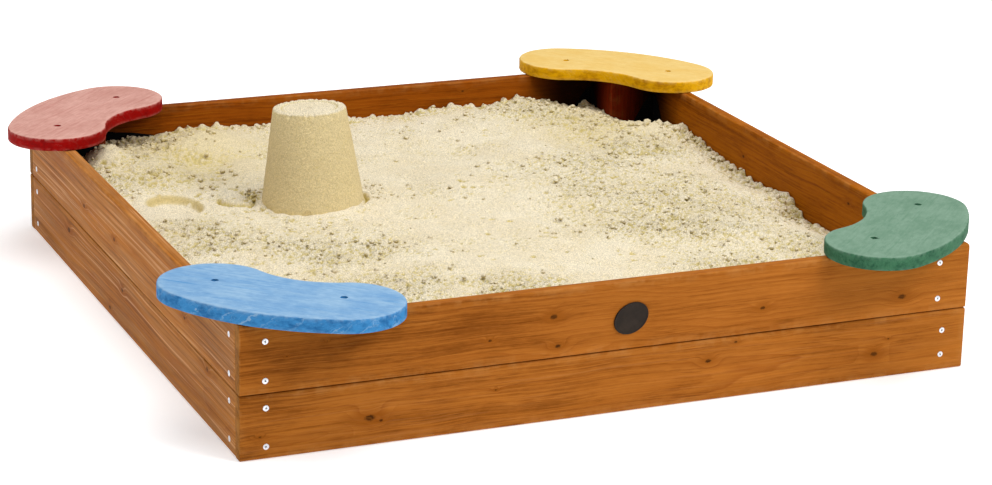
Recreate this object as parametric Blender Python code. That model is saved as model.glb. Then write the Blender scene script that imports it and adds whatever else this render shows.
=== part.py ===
"""Square timber sandpit for a garden.

Two tiers of planks are screwed to four corner posts. A kidney-shaped seat is screwed down over
each corner. A groundsheet lines the pit, and a bed of sand with one moulded sand castle fills it.

Frame: metres, +Z up. The origin is on the ground at the centre of the square. The front wall
faces -Y, and +X runs along it to its right-hand end.
"""
import math

import bmesh
import bpy
from mathutils import Matrix, Vector

# Walls: a square of planks, two tiers high
SIDE = 1.180
BOARD = 0.020
LOWER_TIER = 0.097
UPPER_TIER = 0.105
TIER_GAP = 0.001
EDGE_RADIUS = 0.003
TOUCH = 0.0003  # gap left between pieces that touch

# Corner posts
POST = 0.088
POST_EDGE = 0.002

# Countersunk screws
SCREW_SIDES = 8
HEAD_RADIUS = 0.0045
HEAD_PROUD = 0.0004
HEAD_DEPTH = 0.0028
SHANK_RADIUS = 0.0020
RECESS_RADIUS = 0.0017
RECESS_DEPTH = 0.0016
POINT_LENGTH = 0.004
WALL_SCREW_LENGTH = 0.040
SEAT_SCREW_LENGTH = 0.045
SIDE_SCREW_INSET = 0.047  # from the box's corner, on the left and right walls
SCREW_PAIRS = {  # (tier, end of the wall): inset from the box's corner, from the plank's bottom, its top
    ("lower", -1): (0.039, 0.0185, 0.0205),
    ("lower", 1): (0.040, 0.0255, 0.0320),
    ("upper", -1): (0.038, 0.0195, 0.0270),
    ("upper", 1): (0.052, 0.0200, 0.0270),
}

# Kidney seats: u runs across the corner's diagonal, v runs inwards along it from the corner
SEAT_THICKNESS = 0.0215
SEAT_EDGE = 0.0030
LOBE_RADIUS = 0.082
LOBE_U = 0.105
LOBE_V = 0.111
OUTER_V = 0.008  # the outer edge, where it crosses the diagonal
NOTCH_V = 0.166  # the notch, where it crosses the diagonal
ARC_STEP = math.radians(14)
SEAT_SCREW_ALONG = 0.153  # from the box's corner, along a wall's centre line
COUNTERBORE_RADIUS = 0.0055
COUNTERBORE_DEPTH = 0.006

# Groundsheet: a shallow tray of woven sheet, folded up inside the walls and round the posts
SHEET_THICKNESS = 0.0008
SHEET_LIFT = 0.0005
SHEET_SKIRT_TOP = 0.112
SHEET_STEP = 0.030  # between the points that follow the skirt's top edge
FOLD_RISE = 0.064  # the skirt bunches up where a wall meets a post
FOLD_REACH = 0.055
BACK_LEFT_RISE = 0.066  # and stands up all round the back left post
BACK_LEFT_REACH = 0.450

# Sand
SAND_LEVEL = 0.148
SAND_CELL = 0.052
SAND_MOUNDS = (  # centre x, centre y, radius, height (negative for a hollow)
    (-0.300, 0.520, 0.070, 0.014),
    (-0.470, 0.400, 0.090, 0.016),
    (0.270, 0.500, 0.140, 0.016),
    (0.535, 0.355, 0.060, 0.014),
    (0.530, 0.460, 0.060, -0.022),
    (0.545, 0.060, 0.070, -0.018),
    (0.545, -0.170, 0.110, -0.024),
    (-0.020, -0.260, 0.180, 0.012),
    (0.220, 0.080, 0.160, 0.010),
    (-0.420, -0.120, 0.120, 0.008),
    (-0.420, 0.180, 0.070, -0.012),
    (0.300, -0.400, 0.140, -0.008),
    (-0.555, 0.450, 0.040, -0.034),
)

# Sand castle: a bucket-moulded cone
CASTLE_X = -0.230
CASTLE_Y = 0.121
CASTLE_BASE_Z = 0.142
CASTLE_HEIGHT = 0.163
CASTLE_BASE_RADIUS = 0.0857
CASTLE_TOP_RADIUS = 0.0605
CASTLE_RING_RADIUS = 0.046
CASTLE_RING_HALF_WIDTH = 0.004
CASTLE_RING_DEPTH = 0.003
CASTLE_LIP = 0.003
CASTLE_SIDES = 32
CASTLE_LEAN = (-0.029, 0.050)  # how far the top is off upright, per metre of height: x, y
CASTLE_FLAT_RADIUS = 0.165  # the sand is level inside this radius, out to the next one
CASTLE_BLEND_RADIUS = 0.230

# Plain oval badge on the front wall, higher at its right-hand end
DISC_HALF_LONG = 0.0288
DISC_HALF_SHORT = 0.0231
DISC_TILT = math.radians(27)
DISC_THICKNESS = 0.0022
DISC_RIM = 0.0016
DISC_DISH = 0.0006
DISC_X = 0.0136
DISC_Z = 0.1463
DISC_SIDES = 32

HALF = SIDE / 2
WALL_HEIGHT = LOWER_TIER + TIER_GAP + UPPER_TIER
TIERS = (
    ("lower", 0.0, LOWER_TIER),
    ("upper", LOWER_TIER + TIER_GAP, WALL_HEIGHT),
)
CORNERS = (  # seat's colour, sign of x, sign of y
    ("blue", -1, -1),
    ("green", 1, -1),
    ("yellow", 1, 1),
    ("red", -1, 1),
)
SEAT_SHIFTS = {  # how far each seat was fitted from the corner's true diagonal: x, y, turn
    "blue": (0.0055, -0.0110, math.radians(1.2)),
    "green": (-0.0130, -0.0110, math.radians(-0.8)),
    "yellow": (-0.0039, 0.0099, 0.0),
    "red": (0.0020, -0.0090, math.radians(1.4)),
}
POST_NAMES = {"blue": "front_left", "green": "front_right", "yellow": "back_right", "red": "back_left"}

COLOURS = {  # base colour, roughness, metallic
    "stained_pine": ((0.36, 0.12, 0.030), 0.55, 0.0),
    "stained_post": ((0.25, 0.075, 0.020), 0.60, 0.0),
    "blue_paint": ((0.20, 0.43, 0.75), 0.55, 0.0),
    "green_paint": ((0.11, 0.30, 0.17), 0.55, 0.0),
    "yellow_paint": ((0.85, 0.58, 0.10), 0.55, 0.0),
    "red_paint": ((0.52, 0.07, 0.05), 0.55, 0.0),
    "zinc": ((0.62, 0.62, 0.60), 0.35, 1.0),
    "black_sheet": ((0.012, 0.013, 0.018), 0.80, 0.0),
    "dry_sand": ((0.80, 0.68, 0.46), 0.95, 0.0),
    "damp_sand": ((0.56, 0.42, 0.25), 0.90, 0.0),
    "dark_disc": ((0.030, 0.022, 0.018), 0.50, 0.0),
}


def clear_scene():
    for obj in list(bpy.data.objects):
        bpy.data.objects.remove(obj, do_unlink=True)


def make_materials():
    materials = {}
    for name, (colour, roughness, metallic) in COLOURS.items():
        material = bpy.data.materials.new(name)
        material.use_nodes = True
        shader = material.node_tree.nodes["Principled BSDF"]
        shader.inputs["Base Color"].default_value = (*colour, 1.0)
        shader.inputs["Roughness"].default_value = roughness
        shader.inputs["Metallic"].default_value = metallic
        material.diffuse_color = (*colour, 1.0)
        materials[name] = material
    return materials


def add_object(name, bm, material=None, matrix=None, smooth_angle=None):
    """Turns a bmesh into a scene object, with its faces pointing out."""
    bmesh.ops.recalc_face_normals(bm, faces=bm.faces)
    mesh = bpy.data.meshes.new(name)
    bm.to_mesh(mesh)
    bm.free()
    if smooth_angle is not None:
        mesh.shade_smooth()
        mesh.set_sharp_from_angle(angle=smooth_angle)
    if material is not None:
        mesh.materials.append(material)
    obj = bpy.data.objects.new(name, mesh)
    if matrix is not None:
        obj.matrix_world = matrix
    bpy.context.scene.collection.objects.link(obj)
    return obj


def drill(obj, cutter_bm):
    """Cuts the shapes in cutter_bm, which is in world space, out of an object."""
    cutter = add_object(obj.name + "_holes", cutter_bm)
    cutter.hide_render = True
    cutter.display_type = "WIRE"
    modifier = obj.modifiers.new("holes", "BOOLEAN")
    modifier.object = cutter
    modifier.operation = "DIFFERENCE"
    modifier.solver = "EXACT"


def rounded_rectangle(width, height, radius, steps):
    """Outline of a rectangle centred on the origin, with round corners."""
    points = []
    for quarter, (sx, sy) in enumerate(((1, 1), (-1, 1), (-1, -1), (1, -1))):
        cx = sx * (width / 2 - radius)
        cy = sy * (height / 2 - radius)
        for step in range(steps + 1):
            angle = math.radians(90) * (quarter + step / steps)
            points.append((cx + radius * math.cos(angle), cy + radius * math.sin(angle)))
    return points


def extrude_outline(points, depth):
    """A prism on a plan outline, from z = 0 to z = depth."""
    bm = bmesh.new()
    base = bm.faces.new([bm.verts.new((x, y, 0.0)) for x, y in points])
    grown = bmesh.ops.extrude_face_region(bm, geom=[base])
    top = [item for item in grown["geom"] if isinstance(item, bmesh.types.BMVert)]
    bmesh.ops.translate(bm, verts=top, vec=(0.0, 0.0, depth))
    return bm


def revolve(bm, profile, sides, matrix):
    """Adds the solid turned from (radius, z) points about z; the first and last lie on the axis."""
    rings = []
    for radius, z in profile[1:-1]:
        ring = []
        for side in range(sides):
            angle = math.tau * (side + 0.5) / sides
            point = Vector((radius * math.cos(angle), radius * math.sin(angle), z))
            ring.append(bm.verts.new(matrix @ point))
        rings.append(ring)
    first = bm.verts.new(matrix @ Vector((0.0, 0.0, profile[0][1])))
    last = bm.verts.new(matrix @ Vector((0.0, 0.0, profile[-1][1])))
    for side in range(sides):
        after = (side + 1) % sides
        bm.faces.new((first, rings[0][after], rings[0][side]))
        bm.faces.new((last, rings[-1][side], rings[-1][after]))
        for lower, upper in zip(rings, rings[1:]):
            bm.faces.new((lower[side], lower[after], upper[after], upper[side]))
    return bm


# ---- screws ----


def screw_profile(length, grow=0.0):
    """A countersunk screw along -z with its head's top at z = 0; grow widens it into its hole."""
    under_head = -HEAD_DEPTH - grow
    tip = -length - grow
    return (
        (0.0, -RECESS_DEPTH),
        (RECESS_RADIUS, -RECESS_DEPTH),
        (RECESS_RADIUS, 0.0),
        (HEAD_RADIUS + grow, 0.0),
        (HEAD_RADIUS + grow, -HEAD_PROUD),
        (SHANK_RADIUS + grow, under_head),
        (SHANK_RADIUS + grow, tip + POINT_LENGTH),
        (0.0, tip),
    )


def screw_hole_profile(length, clear_above):
    """The space a screw needs, open above its head by clear_above."""
    outline = screw_profile(length, grow=TOUCH)
    return ((0.0, clear_above), (HEAD_RADIUS + TOUCH, clear_above), *outline[4:])


def wall_frames(side):
    """Frames of the screws in one wall: origin on the wall's face, z pointing out of it."""
    turn = {"front": 0, "right": 1, "back": 2, "left": 3}[side]
    out_of_face = Matrix.Rotation(math.radians(90), 4, "X")
    full = side in ("front", "back")
    for end in (-1, 1):
        for tier, bottom, top in TIERS:
            inset, above, below = SCREW_PAIRS[tier, end if full else -1]
            if not full:
                inset = SIDE_SCREW_INSET
            for z in (bottom + above, top - below):
                place = Matrix.Translation((end * (HALF - inset), -HALF - HEAD_PROUD, z))
                yield Matrix.Rotation(turn * math.radians(90), 4, "Z") @ place @ out_of_face


def seat_screw_frames(colour, corner_x, corner_y):
    """Frames of a seat's two screws, over the middle of each wall's top edge."""
    z = WALL_HEIGHT + TOUCH + SEAT_THICKNESS - COUNTERBORE_DEPTH + HEAD_PROUD
    along = HALF - SEAT_SCREW_ALONG
    across = HALF - BOARD / 2
    shift_x, shift_y, _ = SEAT_SHIFTS[colour]
    yield Matrix.Translation((corner_x * along + shift_x, corner_y * across, z))
    yield Matrix.Translation((corner_x * across, corner_y * along + shift_y, z))


def add_screws(name, frames, length, material):
    """One object for each screw, all sharing a mesh."""
    mesh = None
    for number, frame in enumerate(frames, start=1):
        label = f"{name}_{number}"
        if mesh is None:
            bm = revolve(bmesh.new(), screw_profile(length), SCREW_SIDES, Matrix.Identity(4))
            mesh = add_object(label, bm, material, frame, smooth_angle=math.radians(50)).data
        else:
            screw = bpy.data.objects.new(label, mesh)
            screw.matrix_world = frame
            bpy.context.scene.collection.objects.link(screw)


def screw_holes(frames, length, clear_above):
    bm = bmesh.new()
    for frame in frames:
        revolve(bm, screw_hole_profile(length, clear_above), SCREW_SIDES, frame)
    return bm


# ---- walls and posts ----


def touches(frame, low, high):
    """True if a screw frame's origin lies in or on a box, seen in plan and height."""
    reach = 2 * TOUCH + HEAD_PROUD
    return all(low[i] - reach <= frame.translation[i] <= high[i] + reach for i in range(3))


def add_plank(side, tier, bottom, top, material):
    """One plank; front and back run the whole side, left and right fit between them."""
    height = top - bottom
    full = side in ("front", "back")
    length = SIDE if full else SIDE - 2 * (BOARD + TOUCH)
    bm = extrude_outline(rounded_rectangle(BOARD, height, EDGE_RADIUS, 2), length)
    middle = HALF - BOARD / 2
    centre_z = (bottom + top) / 2
    if full:
        place = (-length / 2, middle if side == "back" else -middle, centre_z)
        low = (-HALF, place[1] - BOARD / 2, bottom)
        high = (HALF, place[1] + BOARD / 2, top)
        turn = Matrix(((0, 0, 1), (1, 0, 0), (0, 1, 0))).to_4x4()
    else:
        place = (middle if side == "right" else -middle, -length / 2, centre_z)
        low = (place[0] - BOARD / 2, -length / 2, bottom)
        high = (place[0] + BOARD / 2, length / 2, top)
        turn = Matrix(((1, 0, 0), (0, 0, 1), (0, 1, 0))).to_4x4()
    bmesh.ops.transform(bm, matrix=Matrix.Translation(place) @ turn, verts=bm.verts)
    plank = add_object(f"{side}_plank_{tier}", bm, material, smooth_angle=math.radians(50))

    wall_screws = [frame for frame in wall_frames(side) if touches(frame, low, high)]
    holes = screw_holes(wall_screws, WALL_SCREW_LENGTH, HEAD_RADIUS)
    if tier == "upper":
        for corner in CORNERS:
            for frame in seat_screw_frames(*corner):
                if low[0] < frame.translation.x < high[0] and low[1] < frame.translation.y < high[1]:
                    revolve(holes, screw_hole_profile(SEAT_SCREW_LENGTH, HEAD_RADIUS), SCREW_SIDES, frame)
    drill(plank, holes)
    return plank


def add_post(name, corner_x, corner_y, material):
    """A square post in the corner, as tall as the walls, drilled for the screws that meet there."""
    bm = extrude_outline(rounded_rectangle(POST, POST, POST_EDGE, 1), WALL_HEIGHT - TOUCH)
    centre = HALF - BOARD - TOUCH - POST / 2
    bmesh.ops.translate(bm, verts=bm.verts, vec=(corner_x * centre, corner_y * centre, 0.0))
    post = add_object(name, bm, material, smooth_angle=math.radians(50))
    walls = ("front" if corner_y < 0 else "back", "left" if corner_x < 0 else "right")
    frames = [
        frame
        for wall in walls
        for frame in wall_frames(wall)
        if frame.translation.x * corner_x > 0 and frame.translation.y * corner_y > 0
    ]
    drill(post, screw_holes(frames, WALL_SCREW_LENGTH, HEAD_RADIUS))
    return post


# ---- seats ----


def arc(centre, radius, start, end):
    """Points along an arc, without its last one."""
    steps = max(2, math.ceil(abs(end - start) / ARC_STEP))
    for step in range(steps):
        angle = start + (end - start) * step / steps
        yield (centre[0] + radius * math.cos(angle), centre[1] + radius * math.sin(angle))


def kidney_outline():
    """Four tangent arcs: a wide outer edge, a round lobe at each end, and a hollow notch between."""
    lobe_rise = LOBE_V - OUTER_V
    outer_radius = (LOBE_U**2 + lobe_rise**2 - LOBE_RADIUS**2) / (2 * (lobe_rise - LOBE_RADIUS))
    outer_centre = (0.0, OUTER_V + outer_radius)
    outer_half = math.asin(LOBE_U / (outer_radius - LOBE_RADIUS))

    rise = NOTCH_V - LOBE_V
    notch_radius = (LOBE_U**2 + rise**2 - LOBE_RADIUS**2) / (2 * (LOBE_RADIUS - rise))
    notch_centre = (0.0, NOTCH_V + notch_radius)
    notch_half = math.asin(LOBE_U / (notch_radius + LOBE_RADIUS))

    down = math.radians(-90)
    up = math.radians(90)
    points = list(arc(outer_centre, outer_radius, down - outer_half, down + outer_half))
    points += arc((LOBE_U, LOBE_V), LOBE_RADIUS, down + outer_half, up + notch_half)
    points += arc(notch_centre, notch_radius, down + notch_half, down - notch_half)
    points += arc((-LOBE_U, LOBE_V), LOBE_RADIUS, up - notch_half, up + math.radians(180) - outer_half)
    return points


def add_seat(colour, corner_x, corner_y, material):
    bm = extrude_outline(kidney_outline(), SEAT_THICKNESS)
    shift_x, shift_y, twist = SEAT_SHIFTS[colour]
    lobe_middle = LOBE_V / math.sqrt(2)
    pivot = (corner_x * (HALF - lobe_middle), corner_y * (HALF - lobe_middle))
    place = Matrix.Translation((pivot[0] + shift_x, pivot[1] + shift_y, WALL_HEIGHT + TOUCH))
    inwards = math.atan2(-corner_y, -corner_x)
    turn = Matrix.Rotation(inwards - math.radians(90) + twist, 4, "Z")
    from_corner = Matrix.Translation((0.0, -LOBE_V, 0.0))
    seat = add_object(f"seat_{colour}", bm, material, place @ turn @ from_corner, math.radians(40))
    bevel = seat.modifiers.new("eased edge", "BEVEL")
    bevel.width = SEAT_EDGE
    bevel.segments = 2
    bevel.limit_method = "ANGLE"
    bevel.angle_limit = math.radians(50)

    holes = bmesh.new()
    for frame in seat_screw_frames(colour, corner_x, corner_y):
        floor = -HEAD_PROUD - TOUCH
        counterbore = (
            (0.0, COUNTERBORE_DEPTH * 2),
            (COUNTERBORE_RADIUS, COUNTERBORE_DEPTH * 2),
            (COUNTERBORE_RADIUS, floor),
            *screw_hole_profile(SEAT_SCREW_LENGTH, 0.0)[2:],
        )
        revolve(holes, counterbore, SCREW_SIDES, frame)
    drill(seat, holes)
    return seat


# ---- groundsheet, sand and badge ----


def pit_outline(margin):
    """Plan of the pit inside the planks and round the four posts, set in by a margin."""
    wide = HALF - BOARD - TOUCH - margin
    narrow = HALF - BOARD - TOUCH - POST - margin
    points = []
    for sx, sy in ((1, 1), (-1, 1), (-1, -1), (1, -1)):
        corner = [(sx * wide, sy * narrow), (sx * narrow, sy * narrow), (sx * narrow, sy * wide)]
        points += corner if sx * sy > 0 else reversed(corner)
    return points


def skirt_outline(margin):
    """The pit's plan with points every SHEET_STEP or so, each with the skirt's height there."""
    corners = pit_outline(margin)
    wide = HALF - BOARD - TOUCH
    narrow = wide - POST
    points = []
    for (x1, y1), (x2, y2) in zip(corners, corners[1:] + corners[:1]):
        count = round(max(abs(x2 - x1), abs(y2 - y1)) / SHEET_STEP)
        for k in range(count):
            x = x1 + (x2 - x1) * k / count
            y = y1 + (y2 - y1) * k / count
            to_fold = min(
                math.hypot(abs(x) - wide, abs(y) - narrow),
                math.hypot(abs(x) - narrow, abs(y) - wide),
            )
            to_corner = math.hypot(x + wide, y - wide)
            rise = max(
                FOLD_RISE * smooth_fall(to_fold, FOLD_REACH),
                BACK_LEFT_RISE * smooth_fall(to_corner, BACK_LEFT_REACH),
            )
            points.append((x, y, SHEET_SKIRT_TOP + rise))
    return points


def add_groundsheet(material):
    """A closed tray: floor and skirt, open at the top. The skirt is folded higher beside the posts."""
    outside = skirt_outline(TOUCH)
    inside = skirt_outline(TOUCH + SHEET_THICKNESS)
    loops = (
        [(x, y, SHEET_LIFT) for x, y, _ in outside],
        outside,
        inside,
        [(x, y, SHEET_LIFT + SHEET_THICKNESS) for x, y, _ in inside],
    )
    bm = bmesh.new()
    rings = [[bm.verts.new(point) for point in loop] for loop in loops]
    count = len(rings[0])
    for outer, inner in zip(rings, rings[1:]):
        for i in range(count):
            j = (i + 1) % count
            bm.faces.new((outer[i], outer[j], inner[j], inner[i]))
    bm.faces.new(rings[0])
    bm.faces.new(rings[-1])
    return add_object("groundsheet", bm, material)


def smooth_fall(distance, radius):
    """1 at the centre, falling smoothly to 0 at the radius."""
    share = max(0.0, 1.0 - (distance / radius) ** 2)
    return share * share


def sand_height(x, y):
    height = SAND_LEVEL
    for mound_x, mound_y, radius, rise in SAND_MOUNDS:
        height += rise * smooth_fall(math.hypot(x - mound_x, y - mound_y), 2 * radius)
    away = math.hypot(x - CASTLE_X, y - CASTLE_Y)
    blend = (away - CASTLE_FLAT_RADIUS) / (CASTLE_BLEND_RADIUS - CASTLE_FLAT_RADIUS)
    blend = min(1.0, max(0.0, blend))
    return CASTLE_BASE_Z + (height - CASTLE_BASE_Z) * blend


def grid_lines(wide, narrow):
    """Grid positions from -wide to wide that include both faces of the posts."""
    inner = math.ceil(2 * narrow / SAND_CELL)
    outer = math.ceil((wide - narrow) / SAND_CELL)
    middle = [-narrow + 2 * narrow * i / inner for i in range(inner + 1)]
    edge = [narrow + (wide - narrow) * (i + 1) / outer for i in range(outer)]
    return [-value for value in reversed(edge)] + middle + edge


def add_sand_bed(material):
    """The bed of sand, uneven on top, notched round the posts."""
    margin = 2 * TOUCH + SHEET_THICKNESS
    wide = HALF - BOARD - TOUCH - margin
    narrow = wide - POST
    lines = grid_lines(wide, narrow)
    bm = bmesh.new()
    verts = {}

    def vert(i, j):
        if (i, j) not in verts:
            verts[i, j] = bm.verts.new((lines[i], lines[j], sand_height(lines[i], lines[j])))
        return verts[i, j]

    for i in range(len(lines) - 1):
        for j in range(len(lines) - 1):
            centre_x = abs(lines[i] + lines[i + 1]) / 2
            centre_y = abs(lines[j] + lines[j + 1]) / 2
            if centre_x < narrow or centre_y < narrow:
                bm.faces.new((vert(i, j), vert(i + 1, j), vert(i + 1, j + 1), vert(i, j + 1)))
    bmesh.ops.triangulate(bm, faces=bm.faces)
    rim = [edge for edge in bm.edges if edge.is_boundary]
    skirt = bmesh.ops.extrude_edge_only(bm, edges=rim)
    bottom = [item for item in skirt["geom"] if isinstance(item, bmesh.types.BMVert)]
    for corner in bottom:
        corner.co.z = SHEET_LIFT + SHEET_THICKNESS + TOUCH
    bmesh.ops.holes_fill(bm, edges=[edge for edge in bm.edges if edge.is_boundary])
    return add_object("sand_bed", bm, material, smooth_angle=math.radians(40))


def add_sand_castle(material):
    ring_in = CASTLE_RING_RADIUS - CASTLE_RING_HALF_WIDTH
    ring_out = CASTLE_RING_RADIUS + CASTLE_RING_HALF_WIDTH
    top = CASTLE_HEIGHT
    profile = (
        (0.0, 0.0),
        (CASTLE_BASE_RADIUS, 0.0),
        (CASTLE_TOP_RADIUS, top - CASTLE_LIP),
        (CASTLE_TOP_RADIUS - CASTLE_LIP, top),
        (ring_out, top),
        (CASTLE_RING_RADIUS, top - CASTLE_RING_DEPTH),
        (ring_in, top),
        (0.0, top),
    )
    bm = revolve(bmesh.new(), profile, CASTLE_SIDES, Matrix.Identity(4))
    lean_x, lean_y = CASTLE_LEAN
    for vert in bm.verts:
        x, y, z = vert.co
        dip = (lean_x * x + lean_y * y) * z / CASTLE_HEIGHT
        vert.co = (
            CASTLE_X + x + lean_x * z,
            CASTLE_Y + y + lean_y * z,
            CASTLE_BASE_Z + TOUCH + z - dip,
        )
    return add_object("sand_castle", bm, material, smooth_angle=math.radians(30))


def add_badge_disc(material):
    """A plain oval disc with a raised rim, on the outside of the front wall."""
    profile = (
        (0.0, 0.0),
        (DISC_HALF_LONG, 0.0),
        (DISC_HALF_LONG, DISC_THICKNESS - DISC_DISH),
        (DISC_HALF_LONG - DISC_RIM / 2, DISC_THICKNESS),
        (DISC_HALF_LONG - DISC_RIM, DISC_THICKNESS),
        (DISC_HALF_LONG - 2 * DISC_RIM, DISC_THICKNESS - DISC_DISH),
        (0.0, DISC_THICKNESS - DISC_DISH),
    )
    out_of_wall = Matrix.Rotation(math.radians(90), 4, "X")
    tilt = Matrix.Rotation(DISC_TILT, 4, "Z")
    narrowed = Matrix.Diagonal((1.0, DISC_HALF_SHORT / DISC_HALF_LONG, 1.0, 1.0))
    place = Matrix.Translation((DISC_X, -HALF - TOUCH, DISC_Z)) @ out_of_wall @ tilt @ narrowed
    bm = revolve(bmesh.new(), profile, DISC_SIDES, place)
    return add_object("badge_disc", bm, material, smooth_angle=math.radians(40))


def main():
    clear_scene()
    materials = make_materials()
    for side in ("front", "back", "left", "right"):
        for tier, bottom, top in TIERS:
            add_plank(side, tier, bottom, top, materials["stained_pine"])
        add_screws(f"{side}_wall_screw", wall_frames(side), WALL_SCREW_LENGTH, materials["zinc"])
    for colour, corner_x, corner_y in CORNERS:
        add_post(f"{POST_NAMES[colour]}_post", corner_x, corner_y, materials["stained_post"])
        add_seat(colour, corner_x, corner_y, materials[f"{colour}_paint"])
        frames = seat_screw_frames(colour, corner_x, corner_y)
        add_screws(f"{colour}_seat_screw", frames, SEAT_SCREW_LENGTH, materials["zinc"])
    add_groundsheet(materials["black_sheet"])
    add_sand_bed(materials["dry_sand"])
    add_sand_castle(materials["damp_sand"])
    add_badge_disc(materials["dark_disc"])


main()
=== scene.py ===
"""Finished looks for a square timber sandpit with four kidney-shaped corner seats.

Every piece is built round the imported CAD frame, in metres, with +Z up and the front wall
facing -Y.
"""

import math

import bmesh
import bpy
import numpy as np
from mathutils import Matrix, Vector
from mathutils.geometry import delaunay_2d_cdt


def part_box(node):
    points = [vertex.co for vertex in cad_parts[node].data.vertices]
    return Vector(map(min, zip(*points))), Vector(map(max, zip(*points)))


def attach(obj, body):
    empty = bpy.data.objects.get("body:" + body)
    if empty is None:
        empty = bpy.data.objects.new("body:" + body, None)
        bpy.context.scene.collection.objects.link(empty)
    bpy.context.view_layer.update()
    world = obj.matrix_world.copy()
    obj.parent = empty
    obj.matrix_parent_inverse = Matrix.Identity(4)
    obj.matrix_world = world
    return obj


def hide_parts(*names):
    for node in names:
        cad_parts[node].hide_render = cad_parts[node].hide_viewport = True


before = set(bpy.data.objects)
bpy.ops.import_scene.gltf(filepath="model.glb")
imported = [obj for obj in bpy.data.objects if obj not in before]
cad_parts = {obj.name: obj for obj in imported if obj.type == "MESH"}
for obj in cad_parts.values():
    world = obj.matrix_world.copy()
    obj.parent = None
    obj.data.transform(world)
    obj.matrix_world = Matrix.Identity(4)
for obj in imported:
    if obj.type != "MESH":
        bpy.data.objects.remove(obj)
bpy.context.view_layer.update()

# ---- dimensions, most of which the CAD model holds too ----

SIDE = 1.180
HALF = SIDE / 2
BOARD = 0.020
TOUCH = 0.0003
POST = 0.088
WALL_HEIGHT = 0.203

HEAD_RADIUS = 0.0045
HEAD_PROUD = 0.0004
HEAD_DEPTH = 0.0028
HEAD_DOME = 0.00025
SHANK_RADIUS = 0.0020
HOLE_ROOM = 0.00015  # gap between a screw and its hole

SEAT_THICKNESS = 0.0215
LOBE_RADIUS = 0.082
LOBE_U = 0.105
LOBE_V = 0.111
OUTER_V = 0.008
NOTCH_V = 0.166
COUNTERBORE_RADIUS = 0.0055
SEAT_SHIFTS = {  # corner's signs, shift from the exact corner, twist in degrees
    "blue": (-1, -1, 0.0055, -0.0110, 1.2),
    "green": (1, -1, -0.0130, -0.0110, -0.8),
    "yellow": (1, 1, -0.0039, 0.0099, 0.0),
    "red": (-1, 1, 0.0020, -0.0090, 1.4),
}

SHEET_THICKNESS = 0.0008
SHEET_LIFT = 0.0005
SHEET_SKIRT_TOP = 0.112
FOLD_RISE = 0.064
FOLD_REACH = 0.055
BACK_LEFT_RISE = 0.066
BACK_LEFT_REACH = 0.450
RIGHT_DIP = 0.019  # the skirt is lower where the sand dips by the right wall
RIGHT_DIP_Y = -0.135
RIGHT_DIP_REACH = 0.160
SKIRT_WAVE = 0.0025

SAND_LEVEL = 0.148
SAND_MOUNDS = (  # x, y, half the reach, rise
    (-0.300, 0.520, 0.070, 0.014),
    (-0.470, 0.400, 0.090, 0.016),
    (0.270, 0.500, 0.140, 0.016),
    (0.535, 0.355, 0.060, 0.014),
    (0.530, 0.460, 0.060, -0.022),
    (0.545, 0.060, 0.070, -0.018),
    (0.545, -0.170, 0.110, -0.024),
    (-0.020, -0.260, 0.180, 0.012),
    (0.220, 0.080, 0.160, 0.010),
    (-0.420, -0.120, 0.120, 0.008),
    (-0.420, 0.180, 0.070, -0.012),
    (0.300, -0.400, 0.140, -0.008),
    (-0.555, 0.450, 0.040, -0.034),
)
CASTLE_X = -0.230
CASTLE_Y = 0.121
CASTLE_BASE_Z = 0.142
CASTLE_HEIGHT = 0.163
CASTLE_BASE_RADIUS = 0.0857
CASTLE_TOP_RADIUS = 0.0605
CASTLE_RING_RADIUS = 0.046
CASTLE_BLEND_RADIUS = 0.230
CASTLE_LEAN = (-0.029, 0.050)

DISC_HALF_LONG = 0.0288
DISC_HALF_SHORT = 0.0231
DISC_TILT = math.radians(27)
DISC_THICKNESS = 0.0022
DISC_X = 0.0136
DISC_Z = 0.1463


# ---- helpers ----


def srgb(red, green, blue):
    """A colour given as 0 to 255 screen values, as the linear values that a shader takes."""
    return tuple(
        (v / 12.92 if v <= 0.04045 else ((v + 0.055) / 1.055) ** 2.4)
        for v in (red / 255, green / 255, blue / 255)
    )


def lattice_noise(x, y, seed):
    """Smooth two-dimensional gradient noise, from about -1 to 1, for arrays of any shape."""
    rng = np.random.default_rng(seed)
    shuffle = rng.permutation(256)
    angle = rng.uniform(0.0, math.tau, 256)
    cell_x = np.floor(x).astype(int)
    cell_y = np.floor(y).astype(int)
    part_x = x - cell_x
    part_y = y - cell_y

    def corner(step_x, step_y):
        pick = shuffle[(shuffle[(cell_x + step_x) & 255] + cell_y + step_y) & 255]
        return np.cos(angle[pick]) * (part_x - step_x) + np.sin(angle[pick]) * (part_y - step_y)

    ease_x = part_x**3 * (part_x * (part_x * 6 - 15) + 10)
    ease_y = part_y**3 * (part_y * (part_y * 6 - 15) + 10)
    low = corner(0, 0) + (corner(1, 0) - corner(0, 0)) * ease_x
    high = corner(0, 1) + (corner(1, 1) - corner(0, 1)) * ease_x
    return 1.5 * (low + (high - low) * ease_y)


def noise_at(x, y, seed):
    """The same noise at one point, as a plain number."""
    return float(lattice_noise(np.array(x), np.array(y), seed))


def fractal_noise(x, y, seed, octaves, gain=0.5):
    total = np.zeros(np.broadcast(x, y).shape)
    weight = 1.0
    for octave in range(octaves):
        total = total + weight * lattice_noise(x * 2.0**octave, y * 2.0**octave, seed + octave)
        weight *= gain
    return total


def nearest(lines, value):
    """The index of the grid line at or just past a value."""
    return min(len(lines) - 1, np.searchsorted(lines, value))


def smooth_step(low, high, value):
    share = np.clip((value - low) / (high - low), 0.0, 1.0)
    return share * share * (3 - 2 * share)


def smooth_fall(distance, radius):
    share = np.clip(1.0 - (distance / radius) ** 2, 0.0, None)
    return share * share


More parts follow.
